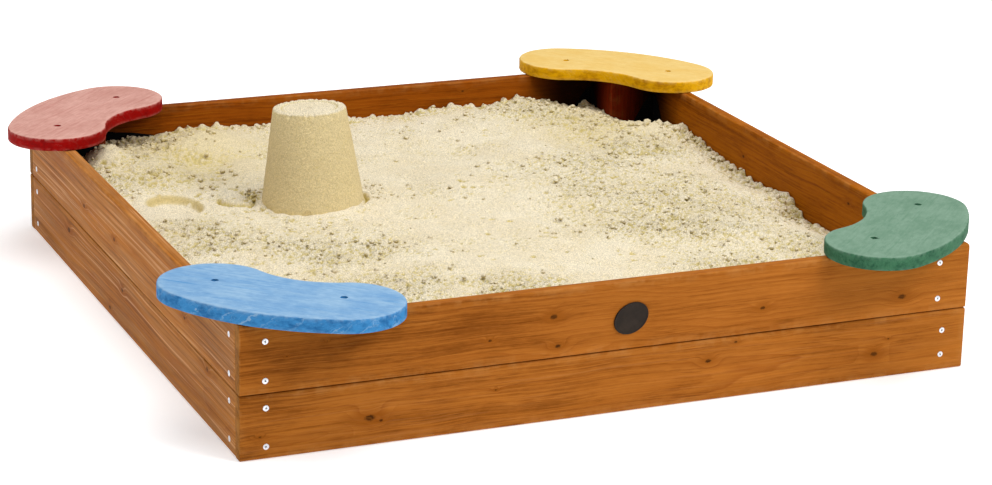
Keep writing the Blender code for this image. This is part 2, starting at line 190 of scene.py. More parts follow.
def finish_piece(obj, slot, *nodes):
    """Ties a piece to the frame's root body and hides the CAD nodes that it stands for; slot is not used."""
    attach(obj, "root")
    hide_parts(*nodes)
    return obj


def object_of(name, bm, material, sharp=None):
    bmesh.ops.recalc_face_normals(bm, faces=bm.faces)
    mesh = bpy.data.meshes.new(name)
    bm.to_mesh(mesh)
    bm.free()
    mesh.shade_smooth()
    if sharp is not None:
        mesh.set_sharp_from_angle(angle=math.radians(sharp))
    mesh.materials.append(material)
    obj = bpy.data.objects.new(name, mesh)
    bpy.context.scene.collection.objects.link(obj)
    return obj


def bridge(bm, rings):
    """Adds the faces between each closed ring of vertices and the next."""
    for before, after in zip(rings, rings[1:]):
        for i in range(len(before)):
            j = (i + 1) % len(before)
            bm.faces.new((before[i], before[j], after[j], after[i]))


def bmesh_with_fields(points, faces, fields):
    """A bmesh from plain lists, with named numbers at each of its points."""
    mesh = bpy.data.meshes.new("points")
    mesh.from_pydata(points, [], faces)
    for name, values in fields.items():
        layer = mesh.attributes.new(name, "FLOAT", "POINT")
        layer.data.foreach_set("value", np.asarray(values, dtype=np.float32))
    bm = bmesh.new()
    bm.from_mesh(mesh)
    bpy.data.meshes.remove(mesh)
    return bm


def revolve(bm, profile, sides, matrix):
    """Adds the solid turned from (radius, z) points about z; the first and last lie on the axis."""
    rings = []
    for radius, z in profile[1:-1]:
        ring = []
        for side in range(sides):
            angle = math.tau * (side + 0.5) / sides
            point = Vector((radius * math.cos(angle), radius * math.sin(angle), z))
            ring.append(bm.verts.new(matrix @ point))
        rings.append(ring)
    first = bm.verts.new(matrix @ Vector((0.0, 0.0, profile[0][1])))
    last = bm.verts.new(matrix @ Vector((0.0, 0.0, profile[-1][1])))
    for side in range(sides):
        after = (side + 1) % sides
        bm.faces.new((first, rings[0][after], rings[0][side]))
        bm.faces.new((last, rings[-1][side], rings[-1][after]))
        for lower, upper in zip(rings, rings[1:]):
            bm.faces.new((lower[side], lower[after], upper[after], upper[side]))
    return bm


def cut(obj, cutter_bm, sharp):
    """Takes the cutter's shapes out of an object and keeps the result as its mesh."""
    cutter = object_of(obj.name + "_cutter", cutter_bm, obj.data.materials[0])
    modifier = obj.modifiers.new("cut", "BOOLEAN")
    modifier.object = cutter
    modifier.operation = "DIFFERENCE"
    modifier.solver = "EXACT"
    bpy.context.view_layer.update()
    graph = bpy.context.evaluated_depsgraph_get()
    made = bpy.data.meshes.new_from_object(obj.evaluated_get(graph), depsgraph=graph)
    obj.modifiers.clear()
    material = obj.data.materials[0]
    obj.data = made
    made.materials.clear()
    made.materials.append(material)
    made.shade_smooth()
    made.set_sharp_from_angle(angle=math.radians(sharp))
    bpy.data.objects.remove(cutter)
    return obj


# ---- shader graphs ----


class Shader:
    """A material's node graph, built by calls that return sockets."""

    def __init__(self, name):
        self.material = bpy.data.materials.new(name)
        self.material.use_nodes = True
        self.tree = self.material.node_tree
        self.surface = self.tree.nodes["Principled BSDF"]

    def put(self, socket, value):
        if isinstance(value, bpy.types.NodeSocket):
            self.tree.links.new(value, socket)
        elif isinstance(value, (tuple, list)) and len(value) == 3 and socket.type == "RGBA":
            socket.default_value = (*value, 1.0)
        else:
            socket.default_value = value

    def set(self, **values):
        """Sets or links the shader's inputs, with _ for a space in their names."""
        for name, value in values.items():
            self.put(self.surface.inputs[name.replace("_", " ")], value)

    def node(self, kind, **settings):
        made = self.tree.nodes.new(kind)
        for name, value in settings.items():
            setattr(made, name, value)
        return made

    def math(self, operation, a, b=0.0):
        made = self.node("ShaderNodeMath", operation=operation)
        for socket, value in zip(made.inputs, (a, b)):
            self.put(socket, value)
        return made.outputs[0]

    def add(self, *values):
        total = values[0]
        for value in values[1:]:
            total = self.math("ADD", total, value)
        return total

    def minus(self, a, b):
        return self.math("SUBTRACT", a, b)

    def times(self, a, b):
        return self.math("MULTIPLY", a, b)

    def hypot(self, a, b):
        return self.math("SQRT", self.add(self.times(a, a), self.times(b, b)))

    def span(self, value, low, high, to_low=0.0, to_high=1.0):
        """Maps low..high smoothly to to_low..to_high, held at the ends."""
        made = self.node("ShaderNodeMapRange", interpolation_type="SMOOTHSTEP")
        for socket, number in zip(made.inputs, (value, low, high, to_low, to_high)):
            self.put(socket, number)
        return made.outputs[0]

    def place(self):
        return self.node("ShaderNodeTexCoord").outputs["Object"]

    def facing(self):
        """The three parts of the direction that the surface faces."""
        return self.split(self.node("ShaderNodeTexCoord").outputs["Normal"])

    def split(self, vector):
        made = self.node("ShaderNodeSeparateXYZ")
        self.put(made.inputs[0], vector)
        return made.outputs

    def join(self, x, y, z):
        made = self.node("ShaderNodeCombineXYZ")
        for socket, value in zip(made.inputs, (x, y, z)):
            self.put(socket, value)
        return made.outputs[0]

    def mapped(self, vector, location=(0, 0, 0), rotation=(0, 0, 0), scale=(1, 1, 1)):
        made = self.node("ShaderNodeMapping")
        for socket, value in zip(made.inputs, (vector, location, rotation, scale)):
            self.put(socket, value)
        return made.outputs[0]

    def noise(self, vector, scale, detail=3.0, roughness=0.5):
        made = self.node("ShaderNodeTexNoise")
        self.put(made.inputs["Vector"], vector)
        self.put(made.inputs["Scale"], scale)
        self.put(made.inputs["Detail"], detail)
        self.put(made.inputs["Roughness"], roughness)
        return made.outputs["Fac"]

    def streaks(self, vector, along, across, detail, roughness=0.5, shift=(0, 0, 0)):
        """Noise drawn out along the first axis, as wood fibres are."""
        stretched = self.mapped(vector, location=shift, scale=(along, across, across))
        return self.noise(stretched, 1.0, detail, roughness)

    def cells(self, vector, scale):
        made = self.node("ShaderNodeTexVoronoi")
        self.put(made.inputs["Vector"], vector)
        self.put(made.inputs["Scale"], scale)
        return made.outputs["Distance"]

    def attribute(self, name):
        return self.node("ShaderNodeAttribute", attribute_name=name).outputs["Fac"]

    def ramp(self, value, stops):
        """A grey level for a value, from (position, level) stops."""
        made = self.node("ShaderNodeValToRGB")
        steps = made.color_ramp.elements
        while len(steps) < len(stops):
            steps.new(0.5)
        for step, (position, level) in zip(steps, stops):
            step.position = position
            step.color = (level, level, level, 1.0)
        self.put(made.inputs[0], value)
        return made.outputs["Color"]

    def mix(self, share, a, b, blend="MIX"):
        made = self.node("ShaderNodeMix", data_type="RGBA", blend_type=blend)
        self.put(made.inputs["Factor"], share)
        colours = [socket for socket in made.inputs if socket.type == "RGBA"]
        self.put(colours[0], a)
        self.put(colours[1], b)
        return [socket for socket in made.outputs if socket.type == "RGBA"][0]

    def scaled(self, colour, factor):
        """A colour, as a socket or three numbers, times a number socket."""
        return self.mix(1.0, colour, self.join(factor, factor, factor), "MULTIPLY")

    def bump(self, height, distance, strength=1.0, under=None):
        made = self.node("ShaderNodeBump")
        self.put(made.inputs["Height"], height)
        self.put(made.inputs["Distance"], distance)
        self.put(made.inputs["Strength"], strength)
        if under is not None:
            self.put(made.inputs["Normal"], under)
        return made.outputs[0]


RING_SPACING = 0.0062


def growth_rings(g, across, through, along, pith, slope, seed):
    """How far each point is from the pith, which wanders as the fibres run along."""
    drift = g.noise(g.join(g.times(along, 1.6), g.times(across, 7.0), g.times(through, 7.0)), 1.0, 2.0)
    sway = g.noise(g.join(g.times(along, 7.0), g.times(across, 28.0), seed), 1.0, 2.0)
    shift = g.add(g.times(g.minus(drift, 0.5), 0.060), g.times(g.minus(sway, 0.5), 0.010))
    radius = g.hypot(g.minus(across, pith[0]), g.minus(through, pith[1]))
    return g.add(radius, g.times(along, slope), shift)


def ring_shade(g, radius, seed):
    """How dark the growth rings are and how far through a ring each point is, both from 0 to 1.

    Light early wood darkens slowly into late wood and then ends sharply.
    """
    count = g.math("DIVIDE", radius, RING_SPACING)
    uneven = g.noise(g.join(g.times(count, 0.9), seed, 0.0), 1.0, 1.0)
    phase = g.math("FRACT", g.add(count, g.times(uneven, 0.8)))
    late = g.ramp(phase, ((0.0, 0.05), (0.35, 0.15), (0.72, 0.55), (0.90, 1.0), (1.0, 0.05)))
    return g.times(late, g.span(uneven, 0.25, 0.75, 0.35, 1.0)), phase


DEEPEST_PAINTED_SHADE = 0.88  # how much of their colour the darkest inner faces lose to painted shade
MIDDLE_SHADE = 0.845  # the sum of the grain's shades where the stain has its own tone


def wood_material(
    name, axis, seed, pith, tone, knots=(), hue=1.0, grey=0.0, slope=0.0, damp_and_shade=None, arris=None
):
    """Stained softwood. axis is the way its fibres run; knots are (along, across, radius).

    pith is the middle of the growth rings, (across, through). tone and hue scale the stain's
    brightness and its green. grey is how far a pale haze of painted sheen, with pale and dark
    raised grain, greys the board. slope is how much lighter the board is painted per metre along
    it, a painted gradient of light. damp_and_shade is where along the board painted shade starts to
    darken its inner face, and where it is darkest. arris is the x and y of a post's free edge, the
    only part that painted shade leaves bright.
    """
    g = Shader(name)
    x, y, z = g.split(g.place())
    along, across, through = {"X": (x, z, y), "Y": (y, z, x), "Z": (z, x, y)}[axis]
    # A painted gradient of light along the board
    painted_light_gradient = g.times(along, slope)
    painted_shade = None
    # Painted shade: the inner face darkens towards the corner under a seat
    if damp_and_shade:
        looks_in = g.span(g.facing()[1 if axis == "X" else 0], -0.5, -0.9)
        painted_shade = g.minus(1.0, g.times(g.times(g.span(along, *damp_and_shade), looks_in), DEEPEST_PAINTED_SHADE))
    # Painted shade under the seats: a post darkens away from its free edge
    if arris:
        off_x = g.math("ABSOLUTE", g.minus(x, arris[0]))
        off_y = g.math("ABSOLUTE", g.minus(y, arris[1]))
        painted_shade = g.span(g.math("MAXIMUM", off_x, off_y), 0.003, POST, 1.0, 0.08)
    start = seed * 0.37
    along = g.add(along, start)
    grain = g.join(g.times(along, 0.5 if grey > 0.3 else 1.0), across, through)

    radius = growth_rings(g, across, through, along, pith, 0.014, seed * 3.1)
    core = 0.0
    halo = 0.0
    smudge = 0.0
    edge_noise = g.noise(grain, 420.0, 3.0, 0.6)
    for knot_along, knot_across, knot_radius in knots:
        away_along = g.times(g.minus(along, knot_along + start), 0.62)
        away_across = g.minus(across, knot_across)
        distance = g.hypot(away_along, away_across)
        ragged = g.add(distance, g.times(g.minus(edge_noise, 0.5), knot_radius * 0.9))
        core = g.math("MAXIMUM", core, g.span(ragged, knot_radius * 1.10, knot_radius * 0.45))
        halo = g.math("MAXIMUM", halo, g.span(distance, knot_radius * 4.2, knot_radius * 0.8))
        drawn_out = g.times(g.times(away_along, away_along), 0.06)
        tail = g.math("SQRT", g.add(drawn_out, g.times(away_across, away_across)))
        smudge = g.math("MAXIMUM", smudge, g.span(tail, knot_radius * 2.4, knot_radius * 0.5))
        pushed = g.span(distance, knot_radius * 6.0, knot_radius * 0.6)
        radius = g.add(radius, g.times(pushed, knot_radius * 1.6))
    late, phase = ring_shade(g, radius, seed * 1.7)

    fibre = g.streaks(grain, 16.0, 950.0, 4.0, 0.7)
    sway = g.times(g.minus(g.streaks(grain, 5.0, 9.0, 2.0), 0.5), 0.016)
    bowed = g.join(g.split(grain)[0], g.add(across, sway, g.times(halo, 0.006)), through)
    streak = g.streaks(bowed, 4.5, 280.0, 7.0, 0.74, (seed, 0, 0))
    band = g.streaks(bowed, 1.8, 75.0, 6.0, 0.66, (0, 0, seed))
    line = g.streaks(bowed, 11.0, 460.0, 3.0, 0.6, (0, seed, 2))
    blotch = g.streaks(grain, 5.0, 15.0, 5.0, 0.62, (0, seed, 0))
    mottle = g.streaks(grain, 60.0, 240.0, 3.0, 0.6, (2, 0, seed))
    dash = g.streaks(grain, 48.0, 1100.0, 1.0, shift=(seed, 2, 0))

    # Where shade is painted, the stain has less blue, so it darkens to a deep red
    blue = tone * (0.25 if damp_and_shade or arris else 1.0)
    early = (0.505 * tone, 0.159 * tone * hue, 0.0190 * blue)
    latewood = (0.330 * tone, 0.082 * tone * hue, 0.0060 * blue)
    colour = g.mix(g.times(late, 0.66), early, latewood)
    shade = g.add(
        0.20,
        g.times(fibre, 0.34),
        g.times(g.span(streak, 0.30, 0.70), 0.27),
        g.times(g.span(band, 0.28, 0.72), 0.16),
        g.times(g.span(blotch, 0.26, 0.74), 0.28),
        g.times(mottle, 0.24),
        painted_light_gradient,
    )
    level = g.math("DIVIDE", shade, MIDDLE_SHADE)
    level = g.times(
        g.math("POWER", g.math("MINIMUM", level, 1.0), 1.70),
        g.math("POWER", g.math("MAXIMUM", level, 1.0), 0.75),
    )
    shade = g.times(level, 0.90)
    tint = g.join(
        shade,
        g.times(shade, g.math("POWER", level, 0.22)),
        g.times(shade, g.math("POWER", level, 0.80)),
    )
    colour = g.mix(1.0, colour, tint, "MULTIPLY")
    ring_edge = g.ramp(phase, ((0.0, 0.0), (0.88, 0.0), (0.95, 1.0), (1.0, 0.0)))
    ring_edge = g.times(ring_edge, g.span(streak, 0.40, 0.62))
    colour = g.mix(g.times(ring_edge, 0.32), colour, (0.66 * tone, 0.250 * tone, 0.045 * blue))
    colour = g.mix(g.span(line, 0.60, 0.72, 0.0, 0.28), colour, (0.64 * tone, 0.245 * tone, 0.050 * blue))
    dark_line = (0.180 * tone, 0.044 * tone, 0.002 * tone)
    colour = g.mix(g.span(line, 0.38, 0.28, 0.0, 0.50), colour, dark_line)
    paler = g.times(g.span(blotch, 0.52, 0.80), g.span(streak, 0.40, 0.75))
    colour = g.mix(g.times(paler, 0.22), colour, (0.58 * tone, 0.210 * tone, 0.035 * blue))
    colour = g.mix(g.span(dash, 0.71, 0.80, 0.0, 0.40), colour, (0.12, 0.030, 0.005))
    # A pale haze of painted sheen, with pale and dark raised grain
    if grey:
        haze = g.streaks(bowed, 6.0, 75.0, 5.0, 0.7, (3, 0, seed))
        colour = g.mix(g.span(haze, 0.34, 0.74, 0.0, grey), colour, (0.400, 0.205, 0.080))
        raised = g.streaks(bowed, 3.6, 190.0, 4.0, 0.62, (5, seed, 0))
        colour = g.mix(g.span(raised, 0.54, 0.66, 0.0, 1.25 * grey), colour, (0.640, 0.350, 0.160))
        colour = g.mix(g.span(raised, 0.46, 0.34, 0.0, 1.45 * grey), colour, (0.165, 0.056, 0.010))
    if knots:
        rings = g.math("FRACT", g.times(radius, 620.0))
        heart = g.mix(g.span(rings, 0.2, 0.8), (0.042, 0.013, 0.002), (0.110, 0.034, 0.003))
        smudged = g.times(smudge, g.span(streak, 0.30, 0.60))
        colour = g.mix(g.times(smudged, 0.45), colour, (0.19, 0.048, 0.003))
        colour = g.mix(g.times(halo, 0.42), colour, (0.260, 0.070, 0.004))
        colour = g.mix(g.times(core, 0.92), colour, heart)

    # End grain drinks more stain
    ends = g.facing()[{"X": 0, "Y": 1, "Z": 2}[axis]]
    end_mask = g.span(g.math("ABSOLUTE", ends), 0.70, 0.90)
    end_early = (0.345 * tone, 0.126 * tone, 0.010 * tone)
    end_late = (0.125 * tone, 0.040 * tone, 0.004 * tone)
    end_tone = g.scaled(g.mix(late, end_early, end_late), g.add(0.65, g.times(mottle, 0.7)))
    colour = g.mix(end_mask, colour, end_tone)

    worn = g.times(g.attribute("edge"), g.span(g.noise(g.place(), 45.0, 4.0, 0.6), 0.38, 0.66))
    colour = g.mix(g.times(worn, 0.42), colour, (0.66 * tone, 0.30 * tone, 0.085 * tone))

    # The painted shade goes over all the rest
    if painted_shade is not None:
        colour = g.scaled(colour, g.math("POWER", painted_shade, 1.4))

    rough = g.add(0.38, g.times(fibre, 0.16), g.times(blotch, 0.16), g.times(late, -0.05))
    rough = g.add(rough, g.times(worn, 0.12))
    relief = g.add(g.times(fibre, 0.55), g.times(late, 0.30), g.times(streak, 0.30), g.times(dash, 0.1))
    g.set(Base_Color=colour, Roughness=rough, Normal=g.bump(relief, 0.0009, 0.60), Specular_IOR_Level=0.03)
    return g.material


def paint_material(name, turn, place, top, side, pale, dark, seed, streaky, flecks):
    """Thin matt paint on softwood: the grain shows through, tops are painted paler as a painted sheen of
    light, and rims are worn.

    streaky is how much of the side's colour shows in the top's grain, and flecks is how worn
    the side is.
    """
    g = Shader(name)
    local = g.mapped(g.mapped(g.place(), location=(-place[0], -place[1], 0.0)), rotation=(0.0, 0.0, -turn))
    u, v, w = g.split(local)
    radius = growth_rings(g, v, w, u, (0.10, WALL_HEIGHT - 0.060), 0.035, seed)
    late, _ = ring_shade(g, radius, seed * 1.3)
    fibre = g.streaks(local, 34.0, 700.0, 4.0, 0.7)
    streak = g.streaks(local, 9.0, 210.0, 4.0, 0.65, (seed, 0, 0))
    cloud = g.streaks(local, 14.0, 24.0, 5.0, 0.66, (0, seed, 0))
    scuff = g.streaks(local, 60.0, 130.0, 5.0, 0.7, (seed, seed, 0))
    speck = g.streaks(local, 170.0, 420.0, 2.0, 0.5, (0, 0, seed))

    # Upward faces take the top colours, paler than the sides: painted sheen of light on the tops
    up = g.span(g.facing()[2], 0.55, 0.95)
    flat = g.mix(g.span(g.add(g.times(scuff, 0.35), g.times(cloud, 0.65)), 0.38, 0.64, 0.0, 0.75), top, pale)
    flat = g.mix(g.times(late, 0.22 * streaky), flat, side)
    figure = g.add(g.times(streak, 0.7), g.times(fibre, 0.3))
    flat = g.mix(g.span(figure, 0.50, 0.30, 0.0, 0.62 * streaky), flat, side)
    flat = g.mix(g.span(scuff, 0.62, 0.72, 0.0, 0.30), flat, pale)
    warp = g.times(g.minus(cloud, 0.5), 0.05)
    slant = g.add(g.times(u, 0.62), g.times(w, -0.78), warp)
    flare = g.noise(g.join(g.times(slant, 330.0), g.times(v, 25.0), g.times(u, 12.0)), 1.0, 3.0, 0.6)
    body = g.add(g.times(cloud, 0.5), g.times(scuff, 0.5))
    band = g.mix(g.span(body, 0.36, 0.56), dark, side)
    band = g.mix(g.span(g.times(late, g.add(flare, 0.35)), 0.35, 0.85, 0.0, flecks * 0.8), band, dark)
    streaks = g.times(g.span(flare, 0.52, 0.66), g.span(cloud, 0.42, 0.58))
    band = g.mix(g.times(streaks, flecks), band, pale)
    colour = g.mix(up, band, flat)
    colour = g.mix(g.span(speck, 0.66, 0.78, 0.0, 0.34), colour, dark)
    colour = g.scaled(colour, g.add(0.84, g.times(fibre, 0.16), g.times(scuff, 0.16)))

    chips = g.streaks(local, 70.0, 90.0, 4.0, 0.65)
    rim = g.times(g.attribute("edge"), g.span(chips, 0.36, 0.62))
    colour = g.mix(g.times(rim, 0.60), colour, pale)

    rough = g.add(0.50, g.times(fibre, 0.14), g.times(cloud, 0.18), g.times(rim, 0.10))
    relief = g.add(g.times(fibre, 0.5), g.times(streak, 0.5), g.times(late, 0.3), g.times(rim, -0.4))
    g.set(Base_Color=colour, Roughness=rough, Normal=g.bump(relief, 0.0006, 0.5), Specular_IOR_Level=0.06)
    return g.material


def zinc_material():
    g = Shader("zinc_plate")
    place = g.place()
    grain = g.noise(place, 900.0, 3.0, 0.6)
    cloud = g.noise(place, 160.0, 3.0, 0.6)
    colour = g.mix(g.span(cloud, 0.35, 0.70), (0.86, 0.87, 0.90), (0.66, 0.67, 0.70))
    # Painted shade in the cross recess
    colour = g.mix(g.attribute("recess"), colour, (0.045, 0.055, 0.075))
    rough = g.add(0.26, g.times(grain, 0.16), g.times(cloud, 0.14))
    g.set(Base_Color=colour, Roughness=rough, Metallic=1.0, Normal=g.bump(grain, 0.0001, 0.4))
    return g.material


def groundsheet_material():
    """Black woven plastic cloth: flat tapes about 2 mm wide, crossing over and under."""
    g = Shader("woven_groundsheet")
    x, y, z = g.split(g.place())
    first = g.math("SINE", g.times(g.add(x, y), 1500.0))
    second = g.math("SINE", g.times(g.add(z, g.minus(x, y)), 1500.0))
    weave = g.times(first, second)
    cloud = g.noise(g.place(), 30.0, 4.0, 0.6)
    dust = g.noise(g.place(), 260.0, 3.0, 0.6)
    colour = g.mix(g.span(weave, -0.6, 0.8), (0.0015, 0.0015, 0.0020), (0.0060, 0.0062, 0.0080))
    colour = g.mix(g.span(dust, 0.66, 0.82, 0.0, 0.12), colour, (0.20, 0.16, 0.10))
    rough = g.add(0.42, g.times(cloud, 0.30), g.times(weave, 0.06))
    g.set(Base_Color=colour, Roughness=rough, Normal=g.bump(weave, 0.0004, 0.7), Specular_IOR_Level=0.05)
    return g.material


SAND_LIGHT = (0.745, 0.665, 0.500)
SAND_SHADE = (0.705, 0.610, 0.430)
# Painted shade between lumps and in the hollows of the sand
SAND_HOLLOW_SHADE = (0.55, 0.44, 0.155)
# The painted shade of the deepest hollows, the colour of the darkened places, which is painted shade on the
# bed and dampness on the castle, and how far that darkening changes the sand
DRY_SAND = ((0.35, 0.255, 0.030), (0.53, 0.415, 0.175), 0.95)
DAMP_SAND = ((0.44, 0.30, 0.10), (0.685, 0.550, 0.272), 1.0)


def sand_material(name, deep_shade, damp_and_shade, damp_and_shade_share):
    """Fine pale sand. The mesh marks painted shade in its hollows, darkening that is painted shade on the
    bed and dampness on the castle, and how crumbly each place is.
    """
    g = Shader(name)
    place = g.place()
    hollow_shade = g.attribute("cavity_shade")
    damp_and_shade_mask = g.attribute("damp_and_shade")
    loose = g.attribute("crumbly")
    grain = g.noise(place, 1500.0, 2.0, 0.7)
    bent = g.node("ShaderNodeVectorMath", operation="ADD")
    wander = g.noise(place, 300.0, 2.0)
    g.put(bent.inputs[0], place)
    g.put(bent.inputs[1], g.join(g.times(wander, 0.004), g.times(wander, -0.004), 0.0))
    lump = g.cells(bent.outputs[0], 330.0)
    small = g.noise(place, 330.0, 4.0, 0.68)
    group = g.noise(place, 75.0, 3.0, 0.6)
    patch = g.noise(place, 11.0, 5.0, 0.6)
    fleck = g.noise(place, 2100.0, 1.0, 0.5)

    colour = g.mix(g.span(patch, 0.30, 0.70), SAND_LIGHT, SAND_SHADE)
    # Darkened where the mesh marks it: painted shade on the bed, dampness on the castle
    colour = g.mix(g.times(damp_and_shade_mask, damp_and_shade_share), colour, damp_and_shade)
    # Painted shade between the lumps and in the hollows, darkest in the deepest ones
    gap = g.times(g.span(lump, 0.42, 0.78), g.span(group, 0.40, 0.62))
    gap = g.times(gap, g.add(0.10, g.times(loose, 0.70)))
    speckle = g.noise(place, 760.0, 2.0, 0.6)
    pit = g.add(g.times(hollow_shade, 0.80), g.times(gap, 0.50), g.times(g.minus(small, 0.5), 0.5))
    colour = g.mix(g.span(pit, 0.05, 0.50, 0.0, 0.75), colour, SAND_HOLLOW_SHADE)
    colour = g.mix(g.span(pit, 0.38, 1.30), colour, deep_shade)
    bright = g.add(
        0.87,
        g.times(grain, 0.10),
        g.times(g.span(small, 0.36, 0.64), 0.18),
        g.times(g.minus(g.span(speckle, 0.38, 0.62), 0.5), g.add(0.56, g.times(damp_and_shade_mask, -0.42))),
    )
    colour = g.scaled(colour, bright)
    colour = g.mix(g.span(fleck, 0.70, 0.80, 0.0, 0.40), colour, (0.24, 0.17, 0.06))
    colour = g.mix(g.span(fleck, 0.30, 0.22, 0.0, 0.40), colour, (0.97, 0.94, 0.84))

    rough = g.add(0.88, g.times(grain, 0.10), g.times(damp_and_shade_mask, -0.06))
    lumpy = g.add(g.times(small, 0.7), g.times(lump, g.add(-0.20, g.times(loose, -0.75))))
    coarse = g.bump(g.add(lumpy, g.times(speckle, 0.30)), 0.0030, g.add(0.85, g.times(damp_and_shade_mask, -0.50)))
    fine = g.bump(grain, 0.0006, 0.65, under=coarse)
    g.set(Base_Color=colour, Roughness=rough, Normal=fine, Specular_IOR_Level=0.03)
    return g.material


def disc_material():
    g = Shader("dark_disc_plastic")
    place = g.place()
    grain = g.noise(place, 1400.0, 3.0, 0.6)
    cloud = g.noise(place, 70.0, 4.0, 0.6)
    scratch = g.noise(g.mapped(place, rotation=(0.0, 0.6, 0.0), scale=(60.0, 60.0, 1500.0)), 1.0, 2.0)
    colour = g.mix(g.span(cloud, 0.30, 0.75), (0.015, 0.0095, 0.0060), (0.026, 0.0170, 0.0110))
    colour = g.mix(g.span(scratch, 0.68, 0.82, 0.0, 0.30), colour, (0.070, 0.055, 0.050))
    rough = g.add(0.42, g.times(cloud, 0.16), g.times(grain, 0.10))
    relief = g.bump(g.add(grain, scratch), 0.0001, 0.4)
    g.set(Base_Color=colour, Roughness=rough, Normal=relief, Specular_IOR_Level=0.15)
    return g.material


# ---- planks, posts and screws ----


def section_outline(width, height, radius, steps, rows):
    """Rounded rectangle as (across, up, edge) points, counter-clockwise, with rows along the sides."""
    points = []
    corners = ((1, 1), (-1, 1), (-1, -1), (1, -1))
    for quarter, (sx, sy) in enumerate(corners):
        centre_x = sx * (width / 2 - radius)
        centre_y = sy * (height / 2 - radius)
        for step in range(steps + 1):
            angle = math.radians(90) * (quarter + step / steps)
            round_off = 1.0 - abs(step / steps - 0.5) * 0.8
            x = centre_x + radius * math.cos(angle)
            y = centre_y + radius * math.sin(angle)
            points.append((x, y, round_off))
        if quarter in (0, 2):
            reach = width / 2 - radius
            stops = [sx * reach * (1 - 2 * k / 3) for k in (1, 2)]
            points += [(stop, sy * height / 2, 0.12) for stop in stops]
        else:
            reach = height / 2 - radius
            stops = [sy * reach * (1 - 2 * k / rows) for k in range(1, rows)]
            points += [(sx * width / 2, stop, 0.0) for stop in stops]
    return points


def add_timber(name, axis, low, high, radius, material, holes, seed, round_end=None, sag=0.00035):
    """A sawn board or post between two corners, with eased edges and ends and slight unevenness.

    round_end is (sign, radius): that end's upper corner is rounded off more than the others.
    """
    size = [high[i] - low[i] for i in range(3)]
    centre = [(high[i] + low[i]) / 2 for i in range(3)]
    along = {"X": 0, "Y": 1, "Z": 2}[axis]
    across, up = {"X": (1, 2), "Y": (0, 2), "Z": (0, 1)}[axis]
    length = size[along]
    width = size[across]
    height = size[up]
    outline = section_outline(width, height, radius, 4, 8)

    ease = 0.0011
    near_end = [ease * (1 - math.cos(math.radians(90) * k / 3)) for k in range(1, 4)]
    if round_end:
        near_end += [round_end[1] * (1 - math.cos(math.radians(90) * k / 6)) for k in range(2, 7)]
    count = max(8, int(length / 0.012))
    spread = np.linspace(0.012, length - 0.012, count)
    stations = sorted({0.0, *near_end, *spread, *(length - v for v in near_end), length})

    bm = bmesh.new()
    edge_layer = bm.verts.layers.float.new("edge")
    rings = []
    for station in stations:
        from_end = min(station, length - station)
        inset = ease - math.sqrt(max(0.0, ease**2 - max(0.0, ease - from_end) ** 2))
        at_end = max(0.0, 1.0 - from_end / 0.003)
        ring = []
        for out, rise, edge in outline:
            shrink_out = 1 - 2 * inset / width
            shrink_up = 1 - 2 * inset / height
            drop = 0.0
            if round_end and (station < length / 2) == (round_end[0] < 0) and rise > 0:
                inside = max(0.0, round_end[1] - from_end)
                drop = round_end[1] - math.sqrt(max(0.0, round_end[1] ** 2 - inside**2))
                drop *= smooth_step(-0.1, 1.0, rise / (height / 2))
            wave = noise_at(station * 5.0, seed + rise * 9.0, 11)
            wave += 0.4 * noise_at(station * 28.0, seed - rise * 14.0, 12)
            pull = sag * (0.55 + 0.45 * max(-1.0, min(1.0, wave)))
            point = [0.0, 0.0, 0.0]
            point[along] = station - length / 2
            point[across] = out * shrink_out * (1 - 2 * pull * 0.4 / width)
            point[up] = rise * shrink_up * (1 - 2 * pull / height) - drop
            vert = bm.verts.new([point[i] + centre[i] for i in range(3)])
            vert[edge_layer] = max(edge, at_end)
            ring.append(vert)
        rings.append(ring)
    bridge(bm, rings)
    bm.faces.new(rings[0])
    bm.faces.new(rings[-1])
    obj = object_of(name, bm, material, sharp=38)
    if holes:
        cutter = bmesh.new()
        for matrix, length_in in holes:
            revolve(cutter, hole_profile(length_in), 20, matrix)
        cut(obj, cutter, sharp=38)
    return obj


def hole_profile(length):
    """The space a screw takes in the wood, open above its head."""
    room = HOLE_ROOM
    above = 0.004
    return (
        (0.0, above),
        (HEAD_RADIUS + room, above),
        (HEAD_RADIUS + room, -HEAD_PROUD),
        (SHANK_RADIUS + room, -HEAD_DEPTH - room),
        (SHANK_RADIUS + room, -length - room),
        (0.0, -length - 2 * room),
    )


OUTWARDS = {
    "front": Matrix.Rotation(math.radians(90), 4, "X"),
    "back": Matrix.Rotation(math.radians(-90), 4, "X"),
    "left": Matrix.Rotation(math.radians(-90), 4, "Y"),
    "right": Matrix.Rotation(math.radians(90), 4, "Y"),
}


def screw_places():
    """Each CAD screw's node name, its frame with z out of the head, and its length."""
    places = []
    for node in sorted(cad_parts):
        if "_screw_" not in node:
            continue
        low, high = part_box(node)
        middle = (low + high) / 2
        side = node.split("_")[0]
        if "wall" in node:
            turn = OUTWARDS[side]
            axis = 1 if side in ("front", "back") else 0
            outer = low if side in ("front", "left") else high
            middle[axis] = outer[axis]
        else:
            turn = Matrix.Identity(4)
            axis = 2
            middle[2] = high[2]
        places.append((node, Matrix.Translation(middle) @ turn, high[axis] - low[axis]))
    return places


